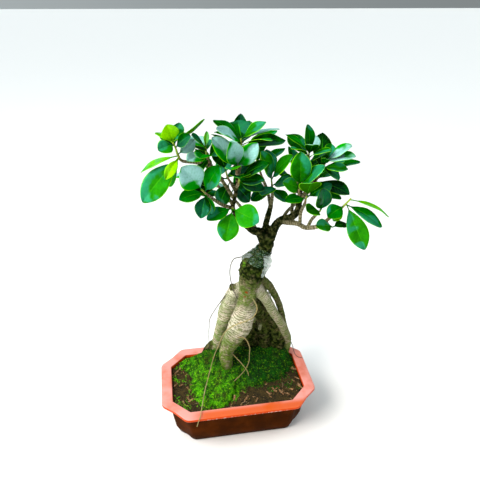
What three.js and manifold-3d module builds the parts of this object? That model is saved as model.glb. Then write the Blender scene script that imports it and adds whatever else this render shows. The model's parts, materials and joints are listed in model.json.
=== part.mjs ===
// Ficus ginseng bonsai in a plastic bonsai pot: millimetres, +Z up, origin under the middle of the pot.
import * as THREE from "three";
import { mergeVertices } from "three/addons/utils/BufferGeometryUtils.js";
import Module from "manifold-3d";

const wasm = await Module();
wasm.setup();

// Pot
const RIM_LENGTH = 200;
const RIM_DEPTH = 134;
const RIM_CORNER_CUT = 29.3;
const RIM_WIDTH = 13.6;
const POT_HEIGHT = 58;
const FLOOR_THICKNESS = 4;
const WALL_LEAN = 0.103;
// The floor of the cavity is this much smaller all round than its walls at the height where they start.
const CAVITY_FOOT = 6;
const CAVITY_FOOT_HEIGHT = 12;
const CORNER_ROUNDING = 5;
const CORNER_SAG = 1.6;
const DRAIN_RADIUS = 5;
const DRAIN_SPACING = 76;
const DRAIN_SIDES = 12;
// Each step of the outside is its inset from the rim's edge and its height above the ground.
const POT_OUTSIDE = [
  [21.8, 0], [19.4, 1.8], [15.4, 12], [12.6, 30], [9.8, 50.8],
  [8, 53.4], [0.9, 54.2], [0, 55.1], [0, 57.2], [0.8, 58],
];

// Soil and moss
const SEAT_GAP = 0.3;
const AERIAL_GAP = 0.4;
const HOLE_PAST_ROOT = 2;
const SOIL_LEVEL = 54;
const MOSS_CENTRE = [8, 26];
const MOSS_POINTS = 24;
const MOSS_EDGE = [
  [66, 50], [40, 57], [5, 50], [-42, 43], [-62, 39], [-77, 33], [-78, 20], [-64, 6], [-59, -15],
  [-51, -38], [-38, -54], [-14, -50], [-4, -34], [6, -22], [24, -14], [42, -9],
  [60, 0], [72, 12], [78, 26], [78, 40],
];
// Each step of the mound is a share of the way out from its centre and a height above the soil.
const MOSS_MOUND = [[1, 0], [0.95, 3.8], [0.78, 8.6], [0.5, 14], [0.2, 18.5]];
// Each hump is its middle, its reach and its height.
const MOSS_HUMPS = [[64, 45, 22, 17], [-36, 42, 20, 9], [36, 46, 20, 8], [6, 44, 20, 10]];
// A hump has its full height within one part in this many of the way in from the edge.
const MOSS_HUMP_FADE = 8;

// Plant: its own axes are x to its right, y to its back and z up, turned a little in the pot.
const PLANT_TURN = THREE.MathUtils.degToRad(-9.1);
const TAPE_GAP = 0.35;
const TAPE_THICKNESS = 0.8;
const TAPE_SPAN = [0.08, 0.2];
// The loose parts of the tape are lists of centres with half a width: x, y, z, half width.
const TAPE_FLAP = [[27, 7.4, 238, 3], [18, 7.4, 238, 3], [9, 6, 236, 3]];
const TAPE_FLAP_WIDE = [0, 0.1, 1];
const TAPE_END = [[38, 7, 240, 5.2], [38.5, 5, 232, 5.2], [36, 4, 221, 3.6], [32, 5, 211, 1.6]];
const TAPE_END_WIDE = [1, -0.1, 0];

// A limb is a list of centres with a radius: x, y, z, r.
const TRUNK_SIDES = 10;
const TRUNK = [
  [37.5, 18, 257, 8.6], [36.5, 18, 248, 9], [32.5, 18, 239, 9.8], [26.5, 19, 229, 13], [22, 20, 217, 16.4],
  [19.6, 21, 204, 15.2], [17, 22, 190, 13.4], [15, 23, 176, 12.2], [14, 24, 162, 12.2],
  [11.4, 22, 147, 13.6], [5.4, 18, 128, 15.6], [-2.6, 14, 114, 12.6], [-11.4, 10, 98, 9.8],
  [-13, 7, 84, 9.2], [-12, 5, 71, 7.4], [-10, 5, 58, 5.4], [-8, 6, 46, 4],
];
const ROOTS = [
  { sides: 8, points: [[8, 23, 188, 7], [-2, 26, 177, 8.6], [-8, 29, 160, 9.8], [-12, 32, 146, 10.2],
    [-16.4, 36, 126, 9.2], [-20.6, 40, 107, 8.6], [-25.8, 43, 84, 8], [-30.5, 43, 66, 7.4],
    [-33, 41, 48, 6]] },
  { sides: 7, points: [[22, 20, 194, 8.4], [29, 22, 182, 8], [39.5, 23, 167, 6.8], [49.5, 27, 144, 6],
    [61, 32, 122, 5.8], [69, 38, 101, 5.8], [72, 42, 82, 5.6], [70, 42, 64, 5], [66, 40, 48, 4.2]] },
  { sides: 7, points: [[20, 22, 208, 7], [29, 24, 199, 6], [40, 26, 190, 5.2], [51.4, 31, 168, 4.4],
    [59, 36, 146, 4.2], [66, 42, 114, 4.2], [70.4, 44, 93, 4.4], [71.5, 44, 78, 4.6], [69, 42, 62, 4.2],
    [66, 41, 48, 3.6]] },
  { sides: 7, points: [[14, 26, 176, 10], [22, 32, 158, 11], [30, 40, 136, 12], [37, 45, 112, 13],
    [40, 46, 88, 13], [40, 45, 66, 10], [40, 44, 48, 7.4]] },
  { sides: 6, points: [[26, 34, 158, 7], [38, 42, 140, 9], [50, 45, 118, 11], [58, 44, 96, 12],
    [59, 42, 76, 10], [57, 40, 48, 7]] },
  { sides: 7, points: [[14, 28, 168, 9], [14, 40, 148, 11], [16, 47, 122, 14], [17, 48, 96, 16],
    [17, 48, 74, 14], [14, 46, 48, 8]] },
  { sides: 6, points: [[-26, 43, 84, 5], [-34, 43, 78, 5.4], [-41, 42, 70, 5], [-46, 39, 60, 4],
    [-48, 36, 50, 3]] },
];
const KNOBS = [
  { sides: 7, points: [[22, 19, 222, 9], [14, 18, 229, 7.4], [10, 17, 233, 4.6]] },
  { sides: 6, points: [[6, 24, 183, 5.6], [-3, 23, 186, 4.8], [-8, 22, 187, 3.2]] },
  { sides: 5, points: [[26, 40, 140, 4.4], [24, 30, 132, 3.2], [23, 25, 128, 2.2]] },
  { sides: 5, points: [[32, 40, 124, 4], [32, 28, 119, 2.6], [32, 24, 117, 1.8]] },
];
const BRANCHES = [
  { sides: 6, points: [[36.5, 18, 246, 8], [34.5, 18, 256, 7], [29, 18, 266, 5.6], [22, 16, 269, 4.6],
    [13.6, 14, 276, 3.7], [5.4, 12, 284, 3.3], [-2.6, 10, 300, 2.7], [-1.4, 8, 310, 2.4], [1.8, 6, 330, 2.1],
    [2.8, 6, 346, 1.8]] },
  { sides: 6, points: [[34.5, 18, 260, 4.6], [36, 20, 275, 3.8], [39, 22, 288, 3.4], [41.7, 24, 299, 2.8]] },
  { sides: 6, points: [[36.5, 18, 246, 8], [39.5, 18, 256, 7.2], [43.6, 17, 267, 6], [47.6, 17, 275.5, 5.2],
    [53.3, 17, 282, 4.8], [66, 18, 286, 4.4], [72.6, 19, 293, 4], [74, 20, 303, 3.6],
    [74.6, 21, 318, 2.7]] },
  { sides: 6, points: [[53, 17, 282, 3.8], [61.6, 14, 281, 3.4], [72, 11, 281, 3.1], [82, 8, 277, 2.9],
    [95, 5, 280, 2.6], [104.5, 3, 288.5, 2.2]] },
  { sides: 4, points: [[29, 18, 268, 2.6], [34, 12, 267, 1.5], [40, 12, 265, 2.6]] },
];
const AERIAL_ROOTS = [
  [[12, 14, 236], [7, 10, 237], [-3, 8, 234], [-7, 8, 217], [-4, 13, 192], [2, 16, 172]],
  [[-4, 23, 184], [-17, 24, 167], [-34, 30, 134], [-37, 34, 113], [-38, 38, 92], [-38, 38, 70]],
  [[20, 14, 178], [27, 8, 165], [23, 4, 154], [13, 3, 147], [-2, 2, 141], [-15, 3, 128], [-24, 12, 98],
    [-30, 14, 80], [-39, -31, 67], [-42, -58, 61], [-43, -72, 60],
    [-45, -77.5, 57], [-47, -78.5, 50]],
  [[-12, 8, 117], [7, 2, 122], [14, 1, 118], [18, 4, 103], [18, 10, 86], [17, 8, 74], [10, -5, 70],
    [-5, -20, 64]],
  [[-6, 7, 92], [7, 3, 78], [15, -3, 70], [17, -6, 64]],
  [[72, 45, 92], [79, 43, 78], [83, 37, 66], [88, 36, 60.4], [94, 35, 59.8]],
];
const AERIAL_RADIUS = 0.7;
const AERIAL_SIDES = 3;

// Leaves
const LEAF_HALF_THICKNESS = 0.42;
const LEAF_FOLD = 0.22;
const LEAF_ARCH = 0.07;
const PETIOLE_SHARE = 0.14;
const PETIOLE_HALF_WIDTH = 0.7;
const BLADE_SKEW = 1.1;
const BLADE_FULLNESS = 0.7;
const BLADE_STATIONS = [0.04, 0.29, 0.6, 0.88];
const FEW_STATIONS = [0.05, 0.38, 0.8];
const BROAD_LEAF = 19;
// Leaves grow from this part of the green stem.
const LEAFY_PART = [0.2, 0.95];
const STEM_GAP = 0.5;
const STEM_RADII = [1.5, 0.9];
const TWIG_RADII = [2.1, 1.5];
const TWIG_SIDES = 4;
const FRONT_LIGHT = [0, -0.72, 0.69];
const TOP_LIGHT = [0, -0.1, 0.995];
// A leaf keeps this far from the others and is leaned, then shortened, until it does.
const LEAF_CLEARANCE = 4.2;
const WOOD_CLEARANCE = 2;
const LEAN_STEPS = [0, 7, 14, 21, 28, 35];
const LEAN_DIRECTIONS = 8;
const LENGTH_STEPS = [1, 0.86, 0.72];
// The points that are tested over a blade: rows along it, five to a row, with the middle one of the blade.
const SAMPLE_ROWS = 8;
const SAMPLE_START = 0.06;
const SAMPLE_STEP = 0.13;
const SAMPLE_CENTRE = 22;
// Below this part of the blade, leaves of one shoot may meet each other and their stem.
const BASE_PART = 0.4;
const NEAR_LEAVES = 70;
const WOOD_SAMPLES = 6;
const TRUNK_TOP = 5;
// On a shoot with no leaves of its own listed, they follow the plant's spiral: how far they open from the
// stem at its foot and its tip, their shortest length and its range, their width in it and its range.
const SPIRAL_STEP = THREE.MathUtils.degToRad(137.5);
const SPIRAL_SEED = 20;
const SPIRAL_WANDER = 0.5;
const SPIRAL_OPENING = [1.35, 0.6];
const SPIRAL_LENGTH = [40, 12];
const SPIRAL_WIDTH = [0.44, 0.06];
const SPIRAL_TURN = 15;

// A shoot has a woody twig, then a green stem on its end, then leaves. Each leaf is its place along the
// stem, the x, y and z of its tip, its width, and the turn of its face about its midrib in degrees.
const SHOOTS = [
  { name: "shoot_left_tip", light: FRONT_LIGHT,
    wood: [[-2, 8, 314], [-14.6, 8, 335], [-26, 4, 352], [-43, 0, 358], [-56, -4, 361]],
    stem: [[-60, -5, 368], [-62, -6, 376], [-65, -6, 383]],
    leaves: [
      [1, -67, -20, 403, 19, 0], [0.8, -76, -24, 387, 17, -10], [0, -100, -15, 318, 28, -10],
      [0.1, -100, -10, 350, 16, 40], [0.9, -84, 8, 388, 15, 40], [0.75, -59, 14, 397, 15, 0],
      [0.6, -46, -16, 391, 15, 0], [0.2, -42, 2, 382, 15, 50], [1, -32, 10, 402, 5, 70],
      [0, -71, -27, 348, 12, 0], [0, -74, 12, 326, 14, 0], [0.5, -74, 28, 390, 19, 0],
    ] },
  { name: "shoot_left_mid", light: FRONT_LIGHT,
    wood: [[-24, 5, 349], [-27, 3, 356]], stem: [[-30, 2, 364], [-31, 2, 374]],
    leaves: [
      [0.9, -53, 14, 391, 18.5, 20], [0.8, -52, -21, 385, 18, 30], [0.5, -54, -20, 367, 18, 10],
      [0.4, -31, -35, 370, 18.5, 0], [0.1, -45, -14, 352, 17, 40], [1, -30, 14, 388, 6, 0],
      [0.6, -38, 36, 384, 22, 0], [0.3, -9, 14, 374, 18.5, 0],
    ] },
  { name: "shoot_left_low", light: FRONT_LIGHT,
    wood: [[-2.6, 10, 301], [-14, 4, 307], [-22, 0, 314], [-30, -4, 322]],
    stem: [[-33, -6, 326], [-37, -8, 331]],
    leaves: [
      [1, -66, -22, 365, 29, -30], [0.2, -60, -18, 322, 20, 20], [0, -37, -24, 303, 18, 0],
      [0.4, -19, -16, 361, 21, 0], [0.1, -26, -14, 303, 15, 20], [0.8, -58, 20, 344, 20, 0],
    ] },
  { name: "shoot_left_fork", light: FRONT_LIGHT,
    wood: [[-2, 10, 301], [-3, 5, 303]], stem: [[-3, 2, 304], [-3, -1, 304]],
    leaves: [[0.9, -11, -18, 272, 25, 0], [0.9, 26, -24, 299, 27, 20], [0.6, -33, -10, 297, 19, 15]] },
  { name: "shoot_centre", light: FRONT_LIGHT,
    wood: [[2.6, 6, 340], [2, 2, 345]], stem: [[2, 0, 350], [2, -1, 356]],
    leaves: [
      [0.6, -31, -14, 380, 22, 10], [0.7, -4, -24, 387, 21, 0], [0.5, 19, -17, 382, 19, 20],
      [0.8, -29, 10, 384, 19, 40], [0.9, -16, 22, 386, 19, 20], [1, 5, -8, 373, 8, 0],
      [0.3, -14, -30, 376, 17, 20],
    ] },
  { name: "shoot_centre_low", light: FRONT_LIGHT,
    wood: [[1.6, 6, 328], [3, 2, 332]], stem: [[4, -1, 336], [5, -3, 341]],
    leaves: [
      [1, 6, -41, 355, 22, 0], [0.8, 34, -18, 362, 19, -25], [0.4, 31, -16, 343, 18, -20],
      [0, 32, -8, 330, 19, -20],
    ] },
  { name: "shoot_centre_back", light: FRONT_LIGHT,
    wood: [[1, 7, 322], [-4, 16, 328]], stem: [[-8, 22, 332], [-11, 27, 340]],
    leaves: [
      [0, -15, 22, 298, 20, 0], [0.4, -40, 24, 326, 19, 20], [1, -21, 38, 366, 20, 0],
      [0.5, 14, 40, 340, 19, -20], [0.2, 17, 22, 304, 22, -10],
    ] },
  { name: "shoot_top", light: FRONT_LIGHT,
    wood: [[2.8, 6, 344], [4.3, 9, 358], [6, 12, 368]], stem: [[6.5, 12, 374], [6.5, 12, 381]],
    leaves: [
      [0.9, 3, 40, 394, 29, 0], [0.9, 33, 8, 399, 18, -30], [0.8, 48, 19, 389, 17, -50],
      [0.8, -22, 26, 398, 18, 30], [0.5, -22, -14, 388, 18, 20], [0.7, -20, 8, 392, 16, 50],
      [0.3, 39, -7, 384, 17, -55], [0.1, 56, 30, 374, 22, -20],
    ] },
  { name: "shoot_middle", light: FRONT_LIGHT,
    wood: [[41.7, 24, 297], [43, 24, 310], [42.6, 24, 317]], stem: [[42, 23, 324], [41, 22, 332]],
    leaves: [
      [0.7, 28, 8, 368, 21, 30], [0.9, 55, 4, 369, 21, -30], [0.2, 25, -7, 330, 20, 20],
      [0.3, 60, 2, 336, 20, -20], [0, 18, 14, 308, 17, 20], [0, 58, 8, 309, 18, -25],
      [0.9, 36, 50, 358, 20, 0],
    ] },
  { name: "shoot_right_main", light: FRONT_LIGHT,
    wood: [[74.4, 21, 312], [73, 16, 317]], stem: [[72, 12, 322], [72, 9, 328]],
    leaves: [[0.9, 69, -4, 371, 24, 0], [0.6, 49, -9, 346, 17, -20], [0.7, 96, -4, 356, 16, -20]] },
  { name: "shoot_right_top", light: FRONT_LIGHT,
    wood: [[74.6, 21, 314], [77, 24, 330], [82, 26, 344]], stem: [[83, 26, 352], [82, 26, 363]],
    leaves: [
      [0.9, 90, 36, 378, 18, -10], [0.8, 82, -6, 379, 15, 0], [0.7, 61, 6, 376, 16, 50],
      [0.6, 97, -8, 376, 15, -20], [1, 54, 32, 377, 15, 40], [0.9, 69, 2, 383, 14, 20],
      [0.2, 103, 18, 366, 16, -40], [0.6, 62, 56, 374, 19, 0],
    ] },
  { name: "shoot_right_outer", light: FRONT_LIGHT,
    wood: [[74.3, 20, 306], [80, 17, 318], [86, 14, 331], [93, 10, 346]],
    stem: [[97, 8, 353], [101, 7, 360]],
    leaves: [
      [0.9, 122, -6, 378, 18, -30], [0.7, 126, -11, 368, 19, -30], [0, 122, 0, 350, 19, -30],
      [1, 93, 30, 377, 18, 10], [0, 118, 16, 335, 20, -20], [0.3, 95, -14, 362, 11, 10],
      [0.7, 120, 34, 369, 19, -10],
    ] },
  { name: "shoot_right_inner", light: FRONT_LIGHT,
    wood: [[75, 10, 280], [75, 8, 296], [78.6, 6, 308]], stem: [[79, 4, 314], [80, 2, 319]],
    leaves: [[1, 80, -30, 346, 24, 0], [0.5, 57, -8, 327, 15, 20], [0.6, 104, 16, 334, 18, -10]] },
  { name: "shoot_right_low", light: FRONT_LIGHT,
    wood: [[84, 8, 277], [88, 11, 285], [93, 12, 291]], stem: [[96, 11, 295], [98, 9, 299]],
    leaves: [[1, 93, -15, 334, 20, 0], [0.6, 74, -6, 306, 20, 15], [0.6, 108, 22, 316, 17, -20]] },
  { name: "shoot_right_under", light: FRONT_LIGHT,
    wood: [[103, 3, 287], [106, 2, 284]], stem: [[109, 1, 282], [112, 0, 281]],
    leaves: [[0.9, 88, -12, 290, 17, 10], [0.9, 130, 9, 281, 14, -30]] },
  { name: "shoot_right_end", light: FRONT_LIGHT,
    wood: [[103, 3, 287], [111, 1.5, 296], [117, 0.5, 302]],
    stem: [[121, 0, 307], [125, 0, 312], [129, 0, 317]],
    leaves: [
      [0.5, 148, -13, 259, 23, 20], [0.4, 165, -8, 285, 18, -20], [0.9, 172, 4, 290, 18, -50],
      [0.2, 97, -16, 308, 19, 0], [0, 109, -12, 294, 12, 0],
    ] },
  { name: "shoot_back_left", light: TOP_LIGHT, count: 5,
    wood: [[-2, 10, 303], [-8, 22, 308], [-18, 38, 314]], stem: [[-27, 47, 322], [-35, 53, 334]] },
  { name: "shoot_back_centre", light: TOP_LIGHT, count: 5,
    wood: [[2.8, 8, 340], [5, 22, 344], [7, 36, 349]], stem: [[7, 44, 354], [5, 50, 364]] },
  { name: "shoot_back_middle", light: TOP_LIGHT, count: 6,
    wood: [[41, 24, 297], [38, 38, 311], [32, 52, 323]], stem: [[28, 61, 333], [24, 66, 346]] },
  { name: "shoot_back_right", light: TOP_LIGHT, count: 5,
    wood: [[66, 18, 286], [68, 34, 296], [72, 48, 307]], stem: [[75, 57, 313], [79, 62, 323]] },
  { name: "shoot_back_outer", light: TOP_LIGHT, count: 5,
    wood: [[74, 20, 302], [83, 31, 311], [91, 40, 317]], stem: [[97, 44, 324], [101, 46, 334]] },
  { name: "shoot_back_low_left", light: TOP_LIGHT, count: 4,
    wood: [[26, 18, 268], [15, 32, 281], [2, 48, 292]], stem: [[-6, 57, 300], [-12, 63, 310]] },
  { name: "shoot_back_low_right", light: TOP_LIGHT, count: 4,
    wood: [[54, 17, 282], [63, 38, 285], [75, 52, 290]], stem: [[86, 57, 297], [96, 60, 306]] },
];

// Colours
const TERRACOTTA = 0xd4573a;
const SOIL_BROWN = 0x3a2416;
const MOSS_GREEN = 0x3f8a12;
const BARK = 0xa08f78;
const TAPE_FILM = 0xcfd8dc;
const LEAF_GREEN = 0x147a2c;

function vector([x, y, z]) {
  return new THREE.Vector3(x, y, z);
}

// Joins rings of equally many points into one closed skin. An end is a fan to the point given for it, or is
// filled from its ring's first point where there is none.
function loft(rings, first = null, last = null) {
  const count = rings[0].length;
  const points = rings.flat();
  const index = [];
  const top = points.length - count;
  for (let r = 0; r + 1 < rings.length; r++) {
    for (let i = 0; i < count; i++) {
      const j = (i + 1) % count;
      const low = r * count;
      const high = low + count;
      index.push(low + i, low + j, high + j, low + i, high + j, high + i);
    }
  }
  const fill = (apex, low, turned) => {
    const hub = apex ? points.push(apex) - 1 : low;
    for (let i = 0; i < count; i++) {
      const pair = [low + i, low + ((i + 1) % count)];
      if (!pair.includes(hub)) index.push(hub, ...(turned ? pair.reverse() : pair));
    }
  };
  fill(first, 0, true);
  fill(last, top, false);
  const geometry = new THREE.BufferGeometry();
  const positions = points.flatMap((p) => [p.x, p.y, p.z]);
  geometry.setAttribute("position", new THREE.Float32BufferAttribute(positions, 3));
  geometry.setIndex(index);
  return geometry;
}

function middle(ring) {
  const sum = new THREE.Vector3();
  for (const point of ring) sum.add(point);
  return sum.divideScalar(ring.length);
}

// A closed geometry as a solid that can be joined and cut.
function solid(geometry) {
  const bare = geometry.clone();
  bare.deleteAttribute("normal");
  bare.deleteAttribute("uv");
  const merged = mergeVertices(bare, 1e-4);
  const mesh = new wasm.Mesh({
    numProp: 3,
    vertProperties: new Float32Array(merged.attributes.position.array),
    triVerts: new Uint32Array(merged.index.array),
  });
  return new wasm.Manifold(mesh);
}

function joined(geometries) {
  return geometries.map(solid).reduce((whole, piece) => whole.add(piece));
}

// The largest body of a solid, without loose scraps.
function largest(whole) {
  const bodies = whole.decompose();
  return bodies.reduce((a, b) => (a.volume() > b.volume() ? a : b));
}

function geometryOf(whole) {
  const mesh = whole.getMesh();
  const geometry = new THREE.BufferGeometry();
  geometry.setAttribute("position", new THREE.BufferAttribute(mesh.vertProperties, 3));
  geometry.setIndex(new THREE.BufferAttribute(mesh.triVerts, 1));
  geometry.computeVertexNormals();
  return geometry;
}

function named(name, whole, color, roughness) {
  const material = new THREE.MeshStandardMaterial({ color, roughness, metalness: 0 });
  const mesh = new THREE.Mesh(geometryOf(whole), material);
  mesh.name = name;
  return mesh;
}

// Building the pot

// The rectangle with cut corners, set in from the rim's edge, as one ring at height z.
function potRing(inset, z, shaped) {
  const halfLength = RIM_LENGTH / 2 - inset;
  const halfDepth = RIM_DEPTH / 2 - inset;
  const cutShrink = 2 - Math.SQRT2;
  const cut = RIM_CORNER_CUT - inset * cutShrink;
  const ring = [];
  for (const [sx, sy] of [[1, 1], [-1, 1], [-1, -1], [1, -1]]) {
    const onEnd = new THREE.Vector2(sx * halfLength, sy * (halfDepth - cut));
    const onSide = new THREE.Vector2(sx * (halfLength - cut), sy * halfDepth);
    const corner = shaped ? shapedCut(onEnd, onSide, sx, sy) : [onEnd, onSide];
    if (sx * sy < 0) corner.reverse();
    for (const point of corner) ring.push(new THREE.Vector3(point.x, point.y, z));
  }
  return ring;
}

// A cut corner that is slightly hollow between two rounded lobes.
function shapedCut(onEnd, onSide, sx, sy) {
  const inward = new THREE.Vector2(-sx, -sy).normalize();
  const hollow = onEnd.clone().lerp(onSide, 0.5).addScaledVector(inward, CORNER_SAG);
  const alongEnd = new THREE.Vector2(onEnd.x, onEnd.y - sy * CORNER_ROUNDING);
  const alongSide = new THREE.Vector2(onSide.x - sx * CORNER_ROUNDING, onSide.y);
  const towards = (from) => from.clone().add(hollow.clone().sub(from).setLength(CORNER_ROUNDING));
  const endLobe = new THREE.QuadraticBezierCurve(alongEnd, onEnd, towards(onEnd));
  const sideLobe = new THREE.QuadraticBezierCurve(towards(onSide), onSide, alongSide);
  return [...endLobe.getPoints(2), hollow, ...sideLobe.getPoints(2)];
}

function pot() {
  const rings = POT_OUTSIDE.map(([inset, z]) => potRing(inset, z, true));
  const outside = loft(rings, middle(rings[0]), middle(rings.at(-1)));
  const inside = loft(cavityRings(0, POT_HEIGHT + 1));
  let whole = solid(outside).subtract(solid(inside));
  const throughFloor = 3 * FLOOR_THICKNESS;
  for (const side of [-1, 1]) {
    const drain = new THREE.CylinderGeometry(DRAIN_RADIUS, DRAIN_RADIUS, throughFloor, DRAIN_SIDES);
    drain.rotateX(Math.PI / 2);
    drain.translate((side * DRAIN_SPACING) / 2, 0, 0);
    whole = whole.subtract(solid(drain));
  }
  return whole;
}

// The pot's inside, drawn in by a gap where something fills it.
function cavityRings(gap, top) {
  const wallInset = (z) => RIM_WIDTH + gap + (POT_HEIGHT - z) * WALL_LEAN;
  const foot = wallInset(CAVITY_FOOT_HEIGHT);
  return [
    potRing(foot + CAVITY_FOOT, FLOOR_THICKNESS + gap, false),
    potRing(foot, CAVITY_FOOT_HEIGHT, false),
    potRing(wallInset(top), top, false),
  ];
}

// Building the limbs

// A smooth curve through every centre of a limb.
function pathThrough(points, closed = false) {
  return new THREE.CatmullRomCurve3(points.map(vector), closed, "catmullrom", 0.5);
}

// The rings of a limb between two shares of its length, with its radius grown by a margin.
function limbRings(limb, sides, { from = 0, to = 1, margin = 0 } = {}) {
  const path = pathThrough(limb);
  const spans = limb.length - 1;
  const steps = Math.max(1, Math.round(spans * (to - from)));
  const rings = [];
  let normal = null;
  let before = null;
  for (let i = 0; i <= steps; i++) {
    const t = from + ((to - from) * i) / steps;
    const tangent = path.getTangent(t);
    normal = normal ? carried(normal, before, tangent) : anyNormal(tangent);
    before = tangent;
    const across = tangent.clone().cross(normal);
    const centre = path.getPoint(t);
    const radius = radiusAt(limb, t) + margin;
    const ring = [];
    for (let k = 0; k < sides; k++) {
      const angle = (2 * Math.PI * k) / sides;
      const spoke = normal.clone().multiplyScalar(Math.cos(angle)).addScaledVector(across, Math.sin(angle));
      ring.push(centre.clone().addScaledVector(spoke, radius));
    }
    rings.push(ring);
  }
  return rings;
}

function radiusAt(limb, t) {
  const place = t * (limb.length - 1);
  const low = Math.min(Math.floor(place), limb.length - 2);
  return THREE.MathUtils.lerp(limb[low][3], limb[low + 1][3], place - low);
}

// A direction square to a tangent, measured from level wherever the tangent isn't nearly upright.
function anyNormal(tangent) {
  const upright = Math.abs(tangent.z) > 0.9;
  const helper = upright ? new THREE.Vector3(1, 0, 0) : new THREE.Vector3(0, 0, 1);
  return helper.cross(tangent).normalize();
}

// A normal turned as far as its tangent has turned, so that the rings don't twist.
function carried(normal, before, tangent) {
  const turn = new THREE.Quaternion().setFromUnitVectors(before, tangent);
  return normal.clone().applyQuaternion(turn);
}

function limbGeometry(limb, sides, options) {
  return loft(limbRings(limb, sides, options));
}

// A list of limbs as one solid.
function limbs(list, options) {
  return joined(list.map(({ sides, points }) => limbGeometry(points, sides, options)));
}

function withRadii(points, start, end) {
  const last = points.length - 1;
  return points.map((p, i) => [...p, THREE.MathUtils.lerp(start, end, i / last)]);
}

function trunkLimb() {
  return { sides: TRUNK_SIDES, points: TRUNK };
}

function aerialLimb(root) {
  return { sides: AERIAL_SIDES, points: withRadii(root, AERIAL_RADIUS, AERIAL_RADIUS) };
}

function tree() {
  const wood = limbs([trunkLimb(), ...ROOTS, ...KNOBS, ...BRANCHES, ...AERIAL_ROOTS.map(aerialLimb)]);
  const twigs = SHOOTS.map((shoot) => limbGeometry(twigLimb(shoot), TWIG_SIDES, { to: twigShare(shoot) }));
  return largest(wood.add(joined(twigs)));
}

// What stands in the soil and the moss, grown by the gap round it.
function rootHoles() {
  const thick = [trunkLimb(), ...ROOTS].map(({ sides, points }) => ({ sides, points: deepened(points) }));
  const thin = limbs(AERIAL_ROOTS.map(aerialLimb), { margin: AERIAL_GAP });
  return limbs(thick, { margin: SEAT_GAP }).add(thin);
}

// A root's limb with one more centre below its end.
function deepened(points) {
  const [x, y, z, radius] = points.at(-1);
  return [...points, [x, y, z - HOLE_PAST_ROOT, radius]];
}

// Building the soil, the moss and the tape

function soil(holes) {
  const turned = holes.rotate([0, 0, THREE.MathUtils.radToDeg(PLANT_TURN)]);
  return largest(solid(loft(cavityRings(SEAT_GAP, SOIL_LEVEL))).subtract(turned));
}

function mossHeight(x, y, share, rise) {
  let height = rise;
  for (const [hx, hy, reach, top] of MOSS_HUMPS) {
    const distance = Math.hypot(x - hx, y - hy) / reach;
    height += top * Math.exp(-distance * distance) * Math.min(1, (1 - share) * MOSS_HUMP_FADE);
  }
  return SOIL_LEVEL + SEAT_GAP + height;
}

function moss(holes) {
  const [cx, cy] = MOSS_CENTRE;
  const edge = pathThrough(MOSS_EDGE.map(([x, y]) => [x, y, 0]), true);
  const outline = edge.getPoints(MOSS_POINTS).slice(0, -1);
  const rings = MOSS_MOUND.map(([share, rise]) => outline.map((p) => {
    const x = cx + (p.x - cx) * share;
    const y = cy + (p.y - cy) * share;
    return new THREE.Vector3(x, y, mossHeight(x, y, share, rise));
  }));
  return largest(solid(loft(rings, middle(rings[0]), middle(rings.at(-1)))).subtract(holes));
}

// A flat ribbon through a list of centres with half a width, wide along one direction.
function ribbon(points, along) {
  const path = pathThrough(points);
  const wide = vector(along).normalize();
  const corners = [[-1, -1], [1, -1], [1, 1], [-1, 1]];
  const rings = points.map(([, , , halfWidth], i) => {
    const t = i / (points.length - 1);
    const thin = path.getTangent(t).cross(wide).setLength(TAPE_THICKNESS / 2);
    const at = (a, b) => path.getPoint(t).addScaledVector(wide, a * halfWidth).addScaledVector(thin, b);
    return corners.map(([a, b]) => at(a, b));
  });
  return loft(rings);
}

function graftTape() {
  const [from, to] = TAPE_SPAN;
  const outer = limbGeometry(TRUNK, TRUNK_SIDES, { from, to, margin: TAPE_GAP + TAPE_THICKNESS });
  const loose = [ribbon(TAPE_FLAP, TAPE_FLAP_WIDE), ribbon(TAPE_END, TAPE_END_WIDE)];
  const wood = limbs([trunkLimb(), KNOBS[0], aerialLimb(AERIAL_ROOTS[0])], { margin: TAPE_GAP });
  return largest(joined([outer, ...loose]).subtract(wood));
}

// Building the shoots

function twigLimb({ wood, stem }) {
  return withRadii([...wood, ...stem], TWIG_RADII[0], TWIG_RADII[1]);
}

function twigShare({ wood, stem }) {
  return (wood.length - 1) / (wood.length + stem.length - 1);
}

function stemLimb(shoot) {
  const limb = twigLimb(shoot);
  const last = limb.length - 1;
  const start = shoot.wood.length - 1;
  return limb.map(([x, y, z], i) => {
    const share = Math.max(0, (i - start) / (last - start));
    return [x, y, z, THREE.MathUtils.lerp(STEM_RADII[0], STEM_RADII[1], share)];
  });
}

// Where the green stem starts: a gap past the end of the woody twig.
function stemStart(shoot) {
  const path = pathThrough(twigLimb(shoot));
  const share = twigShare(shoot);
  const nudge = 0.01;
  const speed = path.getPoint(share + nudge).distanceTo(path.getPoint(share)) / nudge;
  return share + STEM_GAP / speed;
}

// Where a leaf grows from its stem, at a share of the leafy part.
function stemPoint(shoot, at) {
  const start = twigShare(shoot);
  const inside = THREE.MathUtils.lerp(LEAFY_PART[0], LEAFY_PART[1], at);
  return pathThrough(twigLimb(shoot)).getPoint(start + (1 - start) * inside);
}

// A seeded source of numbers from 0 to 1.
function seeded(seed) {
  let state = seed >>> 0;
  return () => {
    state = (state + 0x6d2b79f5) >>> 0;
    let mixed = Math.imul(state ^ (state >>> 15), state | 1);
    mixed ^= mixed + Math.imul(mixed ^ (mixed >>> 7), mixed | 61);
    return ((mixed ^ (mixed >>> 14)) >>> 0) / 4294967296;
  };
}

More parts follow.
